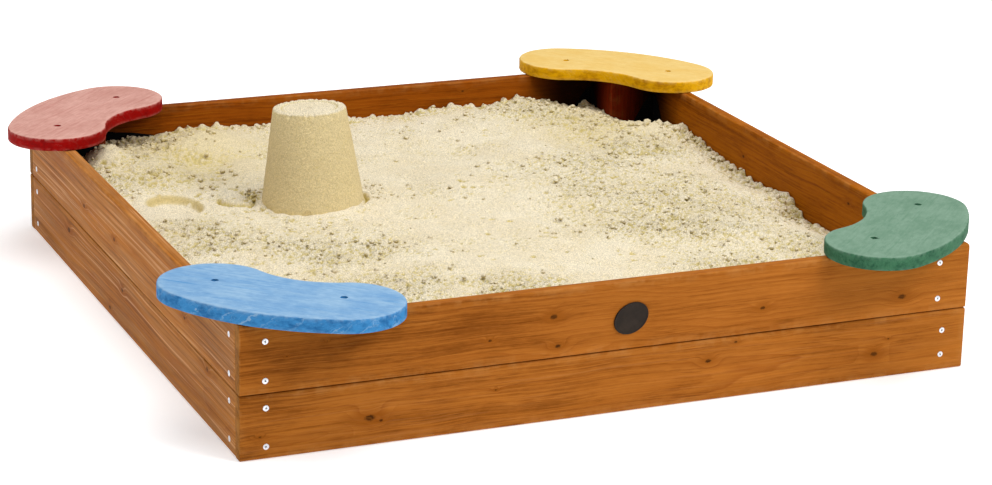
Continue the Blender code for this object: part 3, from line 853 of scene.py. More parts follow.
def cross_recess():
    """A tapered plus-shaped space, as one closed solid."""
    bm = bmesh.new()
    loops = []
    for z, half_long, half_wide in ((0.0010, 0.0024, 0.00055), (-0.0017, 0.0010, 0.00040)):
        loop = []
        for quarter in range(4):
            turn = Matrix.Rotation(math.radians(90) * quarter, 4, "Z")
            for x, y in ((half_long, -half_wide), (half_long, half_wide), (half_wide, half_wide)):
                loop.append(bm.verts.new(turn @ Vector((x, y, z))))
        loops.append(loop)
    upper, lower = loops
    bridge(bm, (lower, upper))
    bm.faces.new(upper)
    bm.faces.new(lower)
    return bm


def screw_profile(length):
    """A domed head over a tapered neck, and a shank whose thread is drawn as fine ridges."""
    profile = [
        (0.0, HEAD_DOME),
        (HEAD_RADIUS * 0.45, 0.00021),
        (HEAD_RADIUS * 0.80, 0.00006),
        (HEAD_RADIUS * 0.94, -0.00006),
        (HEAD_RADIUS, -0.00022),
        (HEAD_RADIUS, -HEAD_PROUD),
        (SHANK_RADIUS * 1.05, -HEAD_DEPTH),
        (SHANK_RADIUS * 0.92, -HEAD_DEPTH - 0.004),
    ]
    thread_top = -HEAD_DEPTH - 0.006
    pitch = 0.0018
    point = 0.005
    for turn in range(int((length - HEAD_DEPTH - 0.006 - point) / pitch)):
        z = thread_top - turn * pitch
        profile += [(SHANK_RADIUS * 0.70, z), (SHANK_RADIUS * 0.98, z - pitch * 0.45)]
    return profile + [(SHANK_RADIUS * 0.55, -length + point / 2), (0.0, -length)]


def add_screws(places, material):
    """Countersunk screws with a cross recess, each turned its own way. Equal lengths share a mesh."""
    rng = np.random.default_rng(5)
    meshes = {}
    for node, matrix, length in places:
        key = round(length, 3)
        if key not in meshes:
            bm = revolve(bmesh.new(), screw_profile(length), 28, Matrix.Identity(4))
            obj = object_of(node + "_zinc", bm, material, sharp=40)
            cut(obj, cross_recess(), sharp=40)
            # Marks the cross recess for its painted shade
            deep_shade = obj.data.attributes.new("recess", "FLOAT", "POINT")
            for vert, item in zip(obj.data.vertices, deep_shade.data):
                inside = math.hypot(vert.co.x, vert.co.y) < 0.0027
                item.value = 1.0 if inside and -0.0020 < vert.co.z < -0.00002 else 0.0
            meshes[key] = obj.data
        else:
            obj = bpy.data.objects.new(node + "_zinc", meshes[key])
            bpy.context.scene.collection.objects.link(obj)
        obj.matrix_world = matrix @ Matrix.Rotation(rng.uniform(0.0, math.tau), 4, "Z")
        finish_piece(obj, "zinc_screw", node)


# The slopes paint a gradient of light along the boards, and the upper back and right boards get painted
# shade on their inner faces by the yellow seat's corner.
TIMBER_LOOKS = {  # the arguments that wood_material takes for each board
    "front_plank_upper": {
        "knots": (
            (-0.211, 0.137, 0.0022), (-0.111, 0.162, 0.0044), (-0.103, 0.116, 0.0036),
            (0.233, 0.137, 0.0032), (0.474, 0.128, 0.0048), (-0.46, 0.166, 0.0010),
            (-0.52, 0.150, 0.0010),
        ),
        "pith": (0.02, -0.47), "tone": 0.75, "slope": 0.20,
    },
    "front_plank_lower": {
        "knots": (
            (-0.395, 0.042, 0.0058), (-0.378, 0.036, 0.0022), (0.145, 0.063, 0.0036),
            (0.431, 0.040, 0.0044), (0.190, 0.088, 0.0020), (-0.200, 0.060, 0.0014),
            (0.455, 0.062, 0.0014), (-0.560, 0.034, 0.0018),
        ),
        "pith": (0.035, -0.55), "tone": 0.79, "hue": 1.02, "grey": 0.04, "slope": 0.12,
    },
    "left_plank_upper": {
        "knots": ((0.229, 0.141, 0.0040), (0.049, 0.137, 0.0034), (-0.330, 0.130, 0.0030)),
        "pith": (0.19, -0.52), "tone": 0.90, "hue": 1.06, "grey": 0.55, "slope": 0.06,
    },
    "left_plank_lower": {
        "knots": (
            (0.330, 0.070, 0.0055), (0.007, 0.066, 0.0040), (0.081, 0.013, 0.0036),
            (-0.440, 0.088, 0.0040),
        ),
        "pith": (0.01, -0.50), "tone": 0.83, "hue": 1.06, "grey": 0.50,
    },
    "back_plank_upper": {
        "knots": ((0.22, 0.185, 0.002),),
        "pith": (0.10, 0.50), "tone": 0.60, "hue": 0.76, "slope": 0.24, "damp_and_shade": (0.315, 0.430),
    },
    "back_plank_lower": {
        "knots": ((0.10, 0.05, 0.005), (-0.43, 0.06, 0.004)),
        "pith": (0.00, 0.53), "tone": 0.85,
    },
    "right_plank_upper": {
        "knots": ((0.12, 0.15, 0.003), (-0.25, 0.17, 0.003)),
        "pith": (0.23, 0.52), "tone": 0.75, "hue": 0.90, "slope": -0.14, "damp_and_shade": (0.375, 0.475),
    },
    "right_plank_lower": {
        "knots": ((-0.30, 0.05, 0.006), (0.33, 0.04, 0.004)),
        "pith": (0.08, 0.54), "tone": 0.85,
    },
}


def add_planks(places):
    for seed, (node, look) in enumerate(TIMBER_LOOKS.items(), start=1):
        side, _, tier = node.split("_")
        low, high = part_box(node)
        axis = "X" if side in ("front", "back") else "Y"
        material = wood_material(f"{side}_{tier}_pine", axis, seed, **look)
        holes = []
        for screw, matrix, length in places:
            spot = matrix.translation
            if all(low[i] - 0.003 < spot[i] < high[i] + 0.003 for i in (0, 1)):
                if "wall" in screw and screw.startswith(side) and low.z < spot.z < high.z:
                    holes.append((matrix, length))
                elif "seat" in screw and tier == "upper":
                    holes.append((matrix, length))
        rounded = (1, 0.006) if node == "front_plank_upper" else None
        name = f"{side}_{tier}_board"
        obj = add_timber(name, axis, low, high, 0.0028, material, holes, seed * 7.3, rounded)
        finish_piece(obj, "stained_pine", node)


def add_posts(places):
    corners = ("front_left", "front_right", "back_right", "back_left")
    for seed, node in enumerate(f"{corner}_post" for corner in corners):
        low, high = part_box(node)
        middle_x = (low.x + high.x) / 2
        pith = (middle_x + 0.012, (low.y + high.y) / 2 - 0.009)
        # The posts' stain is made very dark and red: painted shade from the seats above them
        arris = (low.x if middle_x > 0 else high.x, low.y if low.y > 0 else high.y)
        material = wood_material(f"{node}_pine", "Z", seed + 20, pith, 0.33, hue=0.28, arris=arris)
        holes = []
        for screw, matrix, length in places:
            spot = matrix.translation
            if "wall" in screw and spot.x * middle_x > 0 and spot.y * (low.y + high.y) > 0:
                holes.append((matrix, length))
        name = f"{node}_timber"
        obj = add_timber(name, "Z", low, high, 0.0022, material, holes, seed * 5.1 + 3, sag=0.0002)
        finish_piece(obj, "post_pine", node)


# ---- seats ----


def kidney_points(step):
    """The seat's outline as (u, v, normal u, normal v), counter-clockwise, about one point per step."""
    lobe_rise = LOBE_V - OUTER_V
    outer_radius = (LOBE_U**2 + lobe_rise**2 - LOBE_RADIUS**2) / (2 * (lobe_rise - LOBE_RADIUS))
    outer_half = math.asin(LOBE_U / (outer_radius - LOBE_RADIUS))
    rise = NOTCH_V - LOBE_V
    notch_radius = (LOBE_U**2 + rise**2 - LOBE_RADIUS**2) / (2 * (LOBE_RADIUS - rise))
    notch_half = math.asin(LOBE_U / (notch_radius + LOBE_RADIUS))
    down = math.radians(-90)
    up = math.radians(90)
    arcs = (
        (0.0, OUTER_V + outer_radius, outer_radius, down - outer_half, down + outer_half, 1),
        (LOBE_U, LOBE_V, LOBE_RADIUS, down + outer_half, up + notch_half, 1),
        (0.0, NOTCH_V + notch_radius, notch_radius, down + notch_half, down - notch_half, -1),
        (-LOBE_U, LOBE_V, LOBE_RADIUS, up - notch_half, up + math.radians(180) - outer_half, 1),
    )
    points = []
    for centre_u, centre_v, radius, start, end, sense in arcs:
        count = max(3, round(abs(end - start) * radius / step))
        for k in range(count):
            angle = start + (end - start) * k / count
            normal = (math.cos(angle), math.sin(angle))
            points.append((
                centre_u + radius * normal[0],
                centre_v + radius * normal[1],
                sense * normal[0],
                sense * normal[1],
            ))
    return points


def seat_placing(corner_x, corner_y, shift_x, shift_y, twist):
    """The frame of a seat: u across the diagonal, v inwards along it, origin at its corner."""
    lobe_middle = LOBE_V / math.sqrt(2)
    pivot = (corner_x * (HALF - lobe_middle) + shift_x, corner_y * (HALF - lobe_middle) + shift_y)
    turn = math.atan2(-corner_y, -corner_x) - math.radians(90) + math.radians(twist)
    return pivot, turn


def edge_levels(bottom):
    """(inset, z, wear) of each ring up a seat's edge, whose lower and upper arrises are rounded."""
    upper = 0.0030
    lower = 0.0018
    levels = []
    for step in range(5):
        angle = math.radians(90) * step / 4
        levels.append((lower * (1 - math.sin(angle)), bottom + lower * (1 - math.cos(angle)), 0.25))
    for k in (1, 2, 3):
        levels.append((0.0, bottom + lower + (SEAT_THICKNESS - upper - lower) * k / 4, 0.0))
    for step in range(6):
        angle = math.radians(90) * step / 5
        levels.append((
            upper * (1 - math.cos(angle)),
            bottom + SEAT_THICKNESS - upper * (1 - math.sin(angle)),
            0.25 + 0.75 * math.sin(angle),
        ))
    return levels


def add_seat(colour, places, material):
    """A thick board cut to a kidney, its edges rounded by sanding, with two counterbored holes."""
    pivot, turn = seat_placing(*SEAT_SHIFTS[colour])
    to_world = (
        Matrix.Translation((*pivot, 0.0))
        @ Matrix.Rotation(turn, 4, "Z")
        @ Matrix.Translation((0.0, -LOBE_V, 0.0))
    )
    to_local = to_world.inverted()
    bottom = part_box(f"seat_{colour}")[0].z
    top = bottom + SEAT_THICKNESS
    outline = kidney_points(0.0045)
    count = len(outline)
    holes = [(to_local @ matrix.translation, matrix.translation.z) for node, matrix, _ in places
             if node.startswith(f"{colour}_seat")]

    bm = bmesh.new()
    edge_layer = bm.verts.layers.float.new("edge")

    def vert(u, v, z, edge):
        made = bm.verts.new(to_world @ Vector((u, v, z)))
        made[edge_layer] = edge
        return made

    def wobble(k):
        angle = math.tau * k / count
        return 0.0003 * noise_at(6 * math.cos(angle) + 9, 6 * math.sin(angle) + 9, 31)

    rings = []
    for inset, z, edge in edge_levels(bottom):
        ring = []
        for k, (u, v, nu, nv) in enumerate(outline):
            push = -inset + wobble(k)
            ring.append(vert(u + nu * push, v + nv * push, z, edge))
        rings.append(ring)
    bridge(bm, rings)

    hole_sides = 20

    def circle(centre, radius, z):
        return [
            vert(centre.x + radius * math.cos(math.tau * k / hole_sides),
                 centre.y + radius * math.sin(math.tau * k / hole_sides), z, 0.0)
            for k in range(hole_sides)
        ]

    shank = SHANK_RADIUS + HOLE_ROOM
    hole_rings = []
    for centre, head_z in holes:
        seat_z = head_z - HEAD_DOME - HEAD_PROUD - TOUCH
        hole_rings.append([
            circle(centre, COUNTERBORE_RADIUS + 0.0006, top),
            circle(centre, COUNTERBORE_RADIUS + 0.0002, top - 0.0003),
            circle(centre, COUNTERBORE_RADIUS, top - 0.0008),
            circle(centre, COUNTERBORE_RADIUS, seat_z),
            circle(centre, HEAD_RADIUS + HOLE_ROOM, seat_z - 0.0001),
            circle(centre, shank, head_z - HEAD_DEPTH - 0.00035),
            circle(centre, shank, bottom),
        ])
    for stack in hole_rings:
        for before, after in zip(stack, stack[1:]):
            for i in range(hole_sides):
                j = (i + 1) % hole_sides
                bm.faces.new((before[j], before[i], after[i], after[j]))

    def cap(ring, circles, z, is_top):
        """Fills a face that has round holes in it, with points inside to carry its unevenness."""
        loops = [ring, *circles]
        flat = []
        known = []
        edges = []
        for loop in loops:
            start = len(flat)
            for item in loop:
                local = to_local @ item.co
                flat.append(Vector((local.x, local.y)))
                known.append(item)
            edges += [(start + k, start + (k + 1) % len(loop)) for k in range(len(loop))]
        border = np.array([(p.x, p.y) for p in flat])
        for u in np.arange(-0.185, 0.186, 0.009):
            for v in np.arange(0.0, 0.20, 0.009):
                gap = float(np.hypot(border[:, 0] - u, border[:, 1] - v).min())
                if gap > 0.0055 and inside_kidney(u, v, outline):
                    if all(math.hypot(u - c.x, v - c.y) > COUNTERBORE_RADIUS + 0.004 for c, _ in holes):
                        flat.append(Vector((u, v)))
                        worn = max(0.0, 1.0 - gap / 0.012) ** 2 if is_top else 0.0
                        dip = min(0.0, 0.00025 * noise_at(u * 22 + 5, v * 22 + 5, 47)) if is_top else 0.0
                        known.append(vert(u, v, z + dip, worn * 0.6))
        points, _, faces, origins, _, _ = delaunay_2d_cdt(flat, edges, [], 1, 1e-7)
        index = [origin[0] for origin in origins]
        for face in faces:
            middle = sum((points[k] for k in face), Vector((0.0, 0.0))) / len(face)
            open_radius = (COUNTERBORE_RADIUS if is_top else SHANK_RADIUS) * 0.9
            if any(math.hypot(middle.x - c.x, middle.y - c.y) < open_radius for c, _ in holes):
                continue
            corners = [known[index[k]] for k in face]
            if len(set(corners)) == len(corners):
                bm.faces.new(corners)

    cap(rings[-1], [stack[0] for stack in hole_rings], top, True)
    cap(rings[0], [stack[-1] for stack in hole_rings], bottom, False)
    obj = object_of(f"seat_{colour}_board", bm, material, sharp=48)
    return finish_piece(obj, f"{colour}_paint", f"seat_{colour}")


def inside_kidney(u, v, outline):
    """True if a point lies inside the outline, by counting crossings."""
    inside = False
    for (u1, v1, _, _), (u2, v2, _, _) in zip(outline, outline[1:] + outline[:1]):
        if (v1 > v) != (v2 > v) and u < (u2 - u1) * (v - v1) / (v2 - v1) + u1:
            inside = not inside
    return inside


SEAT_COLOURS = {  # top, side, pale, dark, streaks on top, pale flecks on the side; top and pale hold a painted sheen of light on the tops, and pale is also the worn paint
    "blue": (srgb(112, 152, 190), srgb(58, 130, 186), srgb(148, 178, 202), srgb(34, 96, 150), 1.0, 0.60),
    "green": (srgb(100, 131, 110), srgb(60, 106, 77), srgb(122, 149, 130), srgb(38, 80, 58), 0.55, 0.10),
    "yellow": (srgb(218, 182, 104), srgb(218, 162, 2), srgb(224, 196, 130), srgb(176, 118, 1), 0.6, 0.12),
    "red": (srgb(190, 140, 128), srgb(148, 4, 2), srgb(208, 162, 150), srgb(126, 4, 3), 0.60, 0.04),
}


def add_seats(places):
    for seed, (colour, look) in enumerate(SEAT_COLOURS.items(), start=3):
        top, side, pale, dark, streaky, flecks = look
        pivot, turn = seat_placing(*SEAT_SHIFTS[colour])
        name = f"{colour}_painted_wood"
        material = paint_material(name, turn, pivot, top, side, pale, dark, seed * 2.3, streaky, flecks)
        add_seat(colour, places, material)


# ---- sand, castle and groundsheet ----

SAND_CLEAR = BOARD + TOUCH + 2 * TOUCH + SHEET_THICKNESS
SAND_DUNES = (  # x, y, reach, rise: smaller shapes on top of the mounds
    (-0.518, 0.432, 0.075, 0.026), (-0.300, 0.480, 0.085, 0.012), (-0.350, 0.375, 0.080, -0.010),
    (-0.430, 0.330, 0.060, 0.007), (-0.270, 0.330, 0.070, 0.006), (0.050, 0.330, 0.120, -0.006),
    (0.200, 0.250, 0.100, 0.007), (0.330, 0.300, 0.090, -0.007), (0.430, 0.240, 0.070, 0.008),
    (0.020, 0.100, 0.100, 0.006), (0.120, -0.100, 0.120, -0.007), (-0.100, -0.360, 0.110, 0.005),
    (0.350, -0.250, 0.110, 0.007), (0.180, -0.430, 0.090, 0.006), (-0.400, -0.300, 0.100, -0.006),
)
BACK_RIDGE = (  # x, height of the sand where it meets the back wall
    (-0.60, 0.145), (-0.40, 0.150), (-0.30, 0.160), (-0.10, 0.150), (0.10, 0.150),
    (0.20, 0.160), (0.25, 0.150), (0.33, 0.165), (0.43, 0.140), (0.60, 0.125),
)
RIGHT_RIDGE = (  # y, height of the sand where it meets the right wall
    (-0.60, 0.130), (-0.30, 0.115), (-0.12, 0.100), (-0.05, 0.130), (0.05, 0.115),
    (0.20, 0.125), (0.35, 0.145), (0.45, 0.115), (0.60, 0.115),
)
CRUMBLY = (  # x, y, radius: places where the surface is broken up
    (-0.45, 0.44, 0.13), (-0.42, 0.33, 0.07), (-0.50, 0.30, 0.08), (-0.45, -0.02, 0.13),
    (-0.30, -0.12, 0.14), (-0.52, -0.25, 0.10), (-0.26, -0.38, 0.12), (0.27, 0.12, 0.15),
    (0.34, -0.10, 0.24), (0.38, 0.45, 0.15), (0.46, 0.22, 0.12), (0.30, -0.42, 0.14),
    (0.46, -0.36, 0.15), (-0.10, -0.46, 0.10),
)
PITS = (  # x, y, spread, how many
    (-0.310, 0.205, 0.018, 22), (-0.330, 0.110, 0.012, 14), (-0.337, 0.309, 0.022, 12),
    (-0.387, 0.226, 0.012, 7), (0.122, 0.286, 0.010, 3), (0.189, 0.381, 0.010, 3),
    (-0.257, -0.031, 0.030, 22), (-0.254, -0.122, 0.025, 14), (-0.259, -0.386, 0.014, 7),
    (-0.247, -0.305, 0.014, 6), (-0.45, 0.43, 0.045, 70), (-0.36, 0.50, 0.030, 16),
    (0.30, -0.05, 0.060, 34), (0.24, 0.02, 0.050, 26), (0.36, 0.12, 0.050, 20),
    (0.34, -0.20, 0.040, 14), (0.05, 0.12, 0.040, 14), (-0.40, -0.08, 0.070, 40),
    (-0.50, -0.20, 0.050, 20), (0.44, 0.46, 0.040, 18), (-0.145, 0.16, 0.012, 8),
    (0.00, -0.20, 0.08, 18), (0.14, -0.30, 0.06, 8), (-0.318, 0.170, 0.011, 22),
    (-0.313, 0.196, 0.011, 18), (-0.322, 0.146, 0.010, 14),
)
WALL_LUMPS = (  # wall, how many are tried, how far left or forward they start
    ("back", 240, -0.33), ("right", 230, -HALF), ("front", 170, 0.05), ("left", 60, 0.25),
)
RIDGE_REACH = 0.085  # how far from its wall a ridge shapes the sand
BANK_START = 0.088  # the sand banks up from this far from the castle's axis
PRINT_X = -0.452  # the middle of the mould's print
PRINT_Y = 0.178
PRINT_HALF_X = 0.047
PRINT_HALF_Y = 0.062
CURL_X = -0.334  # the middle of the curl of sand between the print and the castle
CURL_Y = 0.172
CURL_RADIUS = 0.034
NOOK_X = -0.318  # the pitted sand at the castle's left foot
NOOK_Y = 0.172
CRUMB_COUNT = 1500
CRUMB_GROUPS = (  # how many, centre x, centre y, spread x, spread y, smallest, largest
    (90, 0.36, -0.546, 0.100, 0.008, 0.0022, 0.0060),
    (40, 0.46, -0.540, 0.050, 0.010, 0.0025, 0.0070),
    (70, 0.47, 0.33, 0.060, 0.070, 0.0025, 0.0070),
    (14, 0.538, 0.350, 0.016, 0.025, 0.0060, 0.0110),
    (40, 0.30, 0.50, 0.120, 0.020, 0.0025, 0.0065),
    (90, -0.40, 0.50, 0.060, 0.030, 0.0022, 0.0056),
    (36, 0.545, 0.05, 0.008, 0.150, 0.0025, 0.0060),
    (30, -0.118, 0.135, 0.012, 0.030, 0.0020, 0.0045),
    (40, -0.314, 0.172, 0.010, 0.026, 0.0020, 0.0042),
)


def grid_lines(wide, narrow, cell):
    """Lines about a cell apart from -wide to wide, with one on each side of the posts' inner faces."""
    inner = math.ceil(2 * narrow / cell)
    outer = math.ceil((wide - narrow) / cell)
    middle = np.linspace(-narrow, narrow, inner + 1)
    edge = narrow + (wide - narrow) * np.arange(1, outer + 1) / outer
    return np.concatenate([-edge[::-1], middle, edge])


def blurred(field, reach):
    """A soft copy of a grid: three box blurs in each direction."""
    for _ in range(3):
        for axis in (0, 1):
            margins = [(reach + 1, reach) if a == axis else (0, 0) for a in (0, 1)]
            padded = np.pad(field, margins, mode="edge")
            total = np.cumsum(padded, axis=axis)
            span = 2 * reach + 1
            if axis == 0:
                field = (total[span:, :] - total[:-span, :]) / span
            else:
                field = (total[:, span:] - total[:, :-span]) / span
    return field


def nook_distance(x, y):
    """Distance from the pitted sand at the castle's foot, which is longer than it is wide."""
    return np.hypot((x - NOOK_X) * 1.3, (y - NOOK_Y) * 0.55)


def bed_shape(x, y, away):
    """The sand's broad shape, and how far out of the castle's bank each point is, from 0 to 1."""
    wide = HALF - SAND_CLEAR
    height = np.full(x.shape, SAND_LEVEL)
    for mound_x, mound_y, radius, rise in SAND_MOUNDS:
        height += rise * smooth_fall(np.hypot(x - mound_x, y - mound_y), 2 * radius)
    for dune_x, dune_y, reach, rise in SAND_DUNES:
        height += rise * smooth_fall(np.hypot(x - dune_x, y - dune_y), reach)
    for outwards, along, ridge in ((y, x, BACK_RIDGE), (x, y, RIGHT_RIDGE)):
        near = smooth_fall(wide - outwards, RIDGE_REACH)
        height = height * (1 - near) + np.interp(along, *zip(*ridge)) * near
    blend = np.clip((away - BANK_START) / (CASTLE_BLEND_RADIUS - BANK_START), 0.0, 1.0) ** 0.7
    toward = ((x - CASTLE_X) * 0.80 - (y - CASTLE_Y) * 0.60) / np.maximum(away, 0.01)
    bank = CASTLE_BASE_Z + 0.0085 * smooth_step(-0.35, 0.95, toward)
    bank += 0.003 * smooth_step(0.3, 1.0, -toward)
    return bank + (height - bank) * blend, blend


def crumbliness(x, y):
    """How broken up the surface is at each point, from 0 to 1."""
    wide = HALF - SAND_CLEAR
    rough = np.zeros(x.shape)
    for patch_x, patch_y, radius in CRUMBLY:
        near = smooth_fall(np.hypot(x - patch_x, y - patch_y), radius * 1.35)
        rough = np.maximum(rough, near)
    drift = fractal_noise(x * 7, y * 7, 71, 3)
    rough = rough * (0.85 + 0.5 * drift) + 0.22 * smooth_step(0.0, 0.6, drift)
    rim = np.maximum(smooth_fall(wide - np.abs(x), 0.06), smooth_fall(wide - np.abs(y), 0.06))
    return np.clip(np.clip(rough, 0.0, 1.0) + 0.5 * rim * (x + y > -0.3), 0.0, 1.0)


def sand_field(xs, ys):
    """Heights of the sand over a grid, with the painted shade in its hollows, the painted shade elsewhere,
    and how crumbly it is.
    """
    wide = HALF - SAND_CLEAR
    x, y = np.meshgrid(xs, ys, indexing="ij")
    away = np.hypot(x - CASTLE_X, y - CASTLE_Y)
    height, blend = bed_shape(x, y, away)
    rough = crumbliness(x, y)
    height += 0.0024 * fractal_noise(x * 9, y * 9, 5, 2) * np.clip(blend + 0.05, 0, 1)
    height += 0.0016 * fractal_noise(x * 30, y * 30, 15, 3) * (0.35 + 0.9 * rough)

    # A print left by the edge of a mould: an arc whose far wall stands over a smooth floor
    off_x = x - PRINT_X
    off_y = y - PRINT_Y
    print_x = (off_x * 0.97 - off_y * 0.24) / PRINT_HALF_X
    print_y = (off_y * 0.97 + off_x * 0.24) / PRINT_HALF_Y
    dish = np.hypot(print_x, print_y)
    print_side = smooth_step(-0.40, 0.05, print_y + 0.45 * print_x)
    height -= 0.0105 * smooth_step(1.03, 0.88, dish) * print_side
    rough *= 1 - 0.95 * smooth_step(1.6, 0.95, dish)

    # A short curl: a low ridge with a groove round its outer side
    curl_off_x = x - CURL_X
    curl_off_y = y - CURL_Y
    curl = np.hypot(curl_off_x, curl_off_y)
    curl_side = smooth_step(-0.010, 0.012, -curl_off_y - 0.55 * curl_off_x)
    curl_side *= smooth_step(0.016, 0.002, curl_off_x)
    curl_ridge = 0.0055 * smooth_fall(np.abs(curl - CURL_RADIUS), 0.0070)
    curl_groove = 0.0050 * smooth_fall(np.abs(curl - CURL_RADIUS - 0.007), 0.0060)
    height += (curl_ridge - curl_groove) * curl_side

    rng = np.random.default_rng(2024)

    def stamp(centre_x, centre_y, reach, shape):
        i0, i1 = np.searchsorted(xs, (centre_x - reach, centre_x + reach))
        j0, j1 = np.searchsorted(ys, (centre_y - reach, centre_y + reach))
        if i1 > i0 and j1 > j0:
            gap = np.hypot(xs[i0:i1, None] - centre_x, ys[None, j0:j1] - centre_y)
            height[i0:i1, j0:j1] = shape(height[i0:i1, j0:j1], gap)

    def level(centre_x, centre_y):
        i = nearest(xs, centre_x)
        j = nearest(ys, centre_y)
        return height[i, j], rough[i, j], away[i, j]

    def clod(centre_x, centre_y, radius, sink):
        ground, _, _ = level(centre_x, centre_y)
        tilt = rng.uniform(-0.35, 0.35, 2)

        def shape(field, gap):
            bulge = np.sqrt(np.clip(radius**2 - gap**2, 0.0, None))
            lifted = ground - sink * radius + bulge * (1 + tilt[0] * np.clip(gap / radius, 0, 1))
            return np.where(gap < radius, np.maximum(field, lifted), field)

        stamp(centre_x, centre_y, radius, shape)

    def pit(centre_x, centre_y, radius, depth):
        def shape(field, gap):
            return field - depth * np.sqrt(np.clip(1 - (gap / radius) ** 2, 0, None))

        stamp(centre_x, centre_y, radius, shape)

    def scatter(count, smallest, largest, power, least_rough, sink):
        spots = rng.uniform(-wide, wide, (count, 2))
        sizes = smallest + (largest - smallest) * rng.random(count) ** power
        keep = rng.random(count)
        for (spot_x, spot_y), radius, chance in zip(spots, sizes, keep):
            _, local, castle_gap = level(spot_x, spot_y)
            likely = least_rough + (1 - least_rough) * local
            if chance < likely and castle_gap > CASTLE_BASE_RADIUS + radius:
                clod(spot_x, spot_y, radius, sink)

    scatter(320, 0.007, 0.013, 2.0, 0.0, 0.84)
    scatter(8000, 0.0036, 0.0068, 1.8, 0.06, 0.64)
    for pit_x, pit_y, spread, count in PITS:
        for _ in range(count):
            centre_x, centre_y = rng.normal((pit_x, pit_y), spread)
            radius = rng.uniform(0.0030, 0.0062)
            depth = radius * rng.uniform(0.7, 1.15)
            if math.hypot(centre_x - CASTLE_X, centre_y - CASTLE_Y) > CASTLE_BASE_RADIUS + 0.001:
                pit(centre_x, centre_y, radius, depth)
    scatter(26000, 0.0028, 0.0050, 1.3, 0.06, 0.45)
    fine = rng.normal(0.0, 1.0, height.shape)
    height += 0.00070 * (0.50 + 0.9 * rough) * fine * np.clip(blend * 4, 0.2, 1.0)

    # Lumps that lean on the walls
    for wall, count, start in WALL_LUMPS:
        for _ in range(count):
            spot = rng.uniform(-wide, wide)
            gap = abs(rng.normal(0.0, 0.011)) + 0.002
            radius = 0.0034 + 0.0046 * rng.random() ** 2
            if spot < start:
                continue
            spots = {"back": (spot, wide - gap), "right": (wide - gap, spot),
                     "front": (spot, gap - wide), "left": (gap - wide, spot)}
            clod(*spots[wall], radius, 0.35)

    # Crumbled edge round the foot of the castle, and the slot its mould left on the right
    ring_angle = np.arctan2(y - CASTLE_Y, x - CASTLE_X)
    foot_gap = away - CASTLE_BASE_RADIUS
    lip = 0.0022 + 0.0040 * lattice_noise(ring_angle * 4.2 + 20, np.full(away.shape, 3.0), 91)
    height += np.clip(lip, 0, None) * smooth_fall(foot_gap - 0.004, 0.016) * (foot_gap > -0.003)
    slot = smooth_fall(foot_gap - 0.0030, 0.0060) * smooth_step(0.45, 0.95, np.cos(ring_angle - 0.20))
    height -= 0.0120 * slot * (foot_gap > -0.004)
    height = np.where(foot_gap < -0.007, CASTLE_BASE_Z - 0.0005, height)

    # Painted shade in the hollows: darker where a point lies below its neighbours
    soft = blurred(height, 1)
    softer = blurred(height, 3)
    cavity_shade = np.clip((soft - height) / 0.0024, 0.0, 1.0) * 0.75
    cavity_shade += np.clip((softer - height) / 0.0048, 0.0, 1.0) * 0.55
    cavity_shade *= 1 - smooth_step(1.25, 1.0, dish)
    # More painted shade: on the print's far wall, in the curl's groove and the mould's slot, and over the
    # back corners
    damp_and_shade = smooth_fall(np.abs(dish - 0.955), 0.17) * print_side
    in_groove = smooth_fall(np.abs(curl - CURL_RADIUS - 0.007), 0.0075)
    damp_and_shade = np.maximum(damp_and_shade, 0.8 * in_groove * curl_side)
    damp_and_shade = np.maximum(damp_and_shade, slot)
    damp_and_shade = np.maximum(damp_and_shade, 0.52 * smooth_fall(np.hypot(x + 0.34, y - 0.45), 0.270))
    damp_and_shade = np.maximum(damp_and_shade, 0.34 * smooth_fall(np.hypot(x - 0.44, y - 0.38), 0.280))
    # Painted shade in the pits at the castle's left foot
    nook = smooth_fall(nook_distance(x, y), 0.020)
    cavity_shade += 1.3 * nook * np.clip(0.60 + 0.9 * fractal_noise(x * 90, y * 90, 8, 2), 0.0, 1.0)
    return height, np.clip(cavity_shade, 0.0, 1.0), damp_and_shade, rough


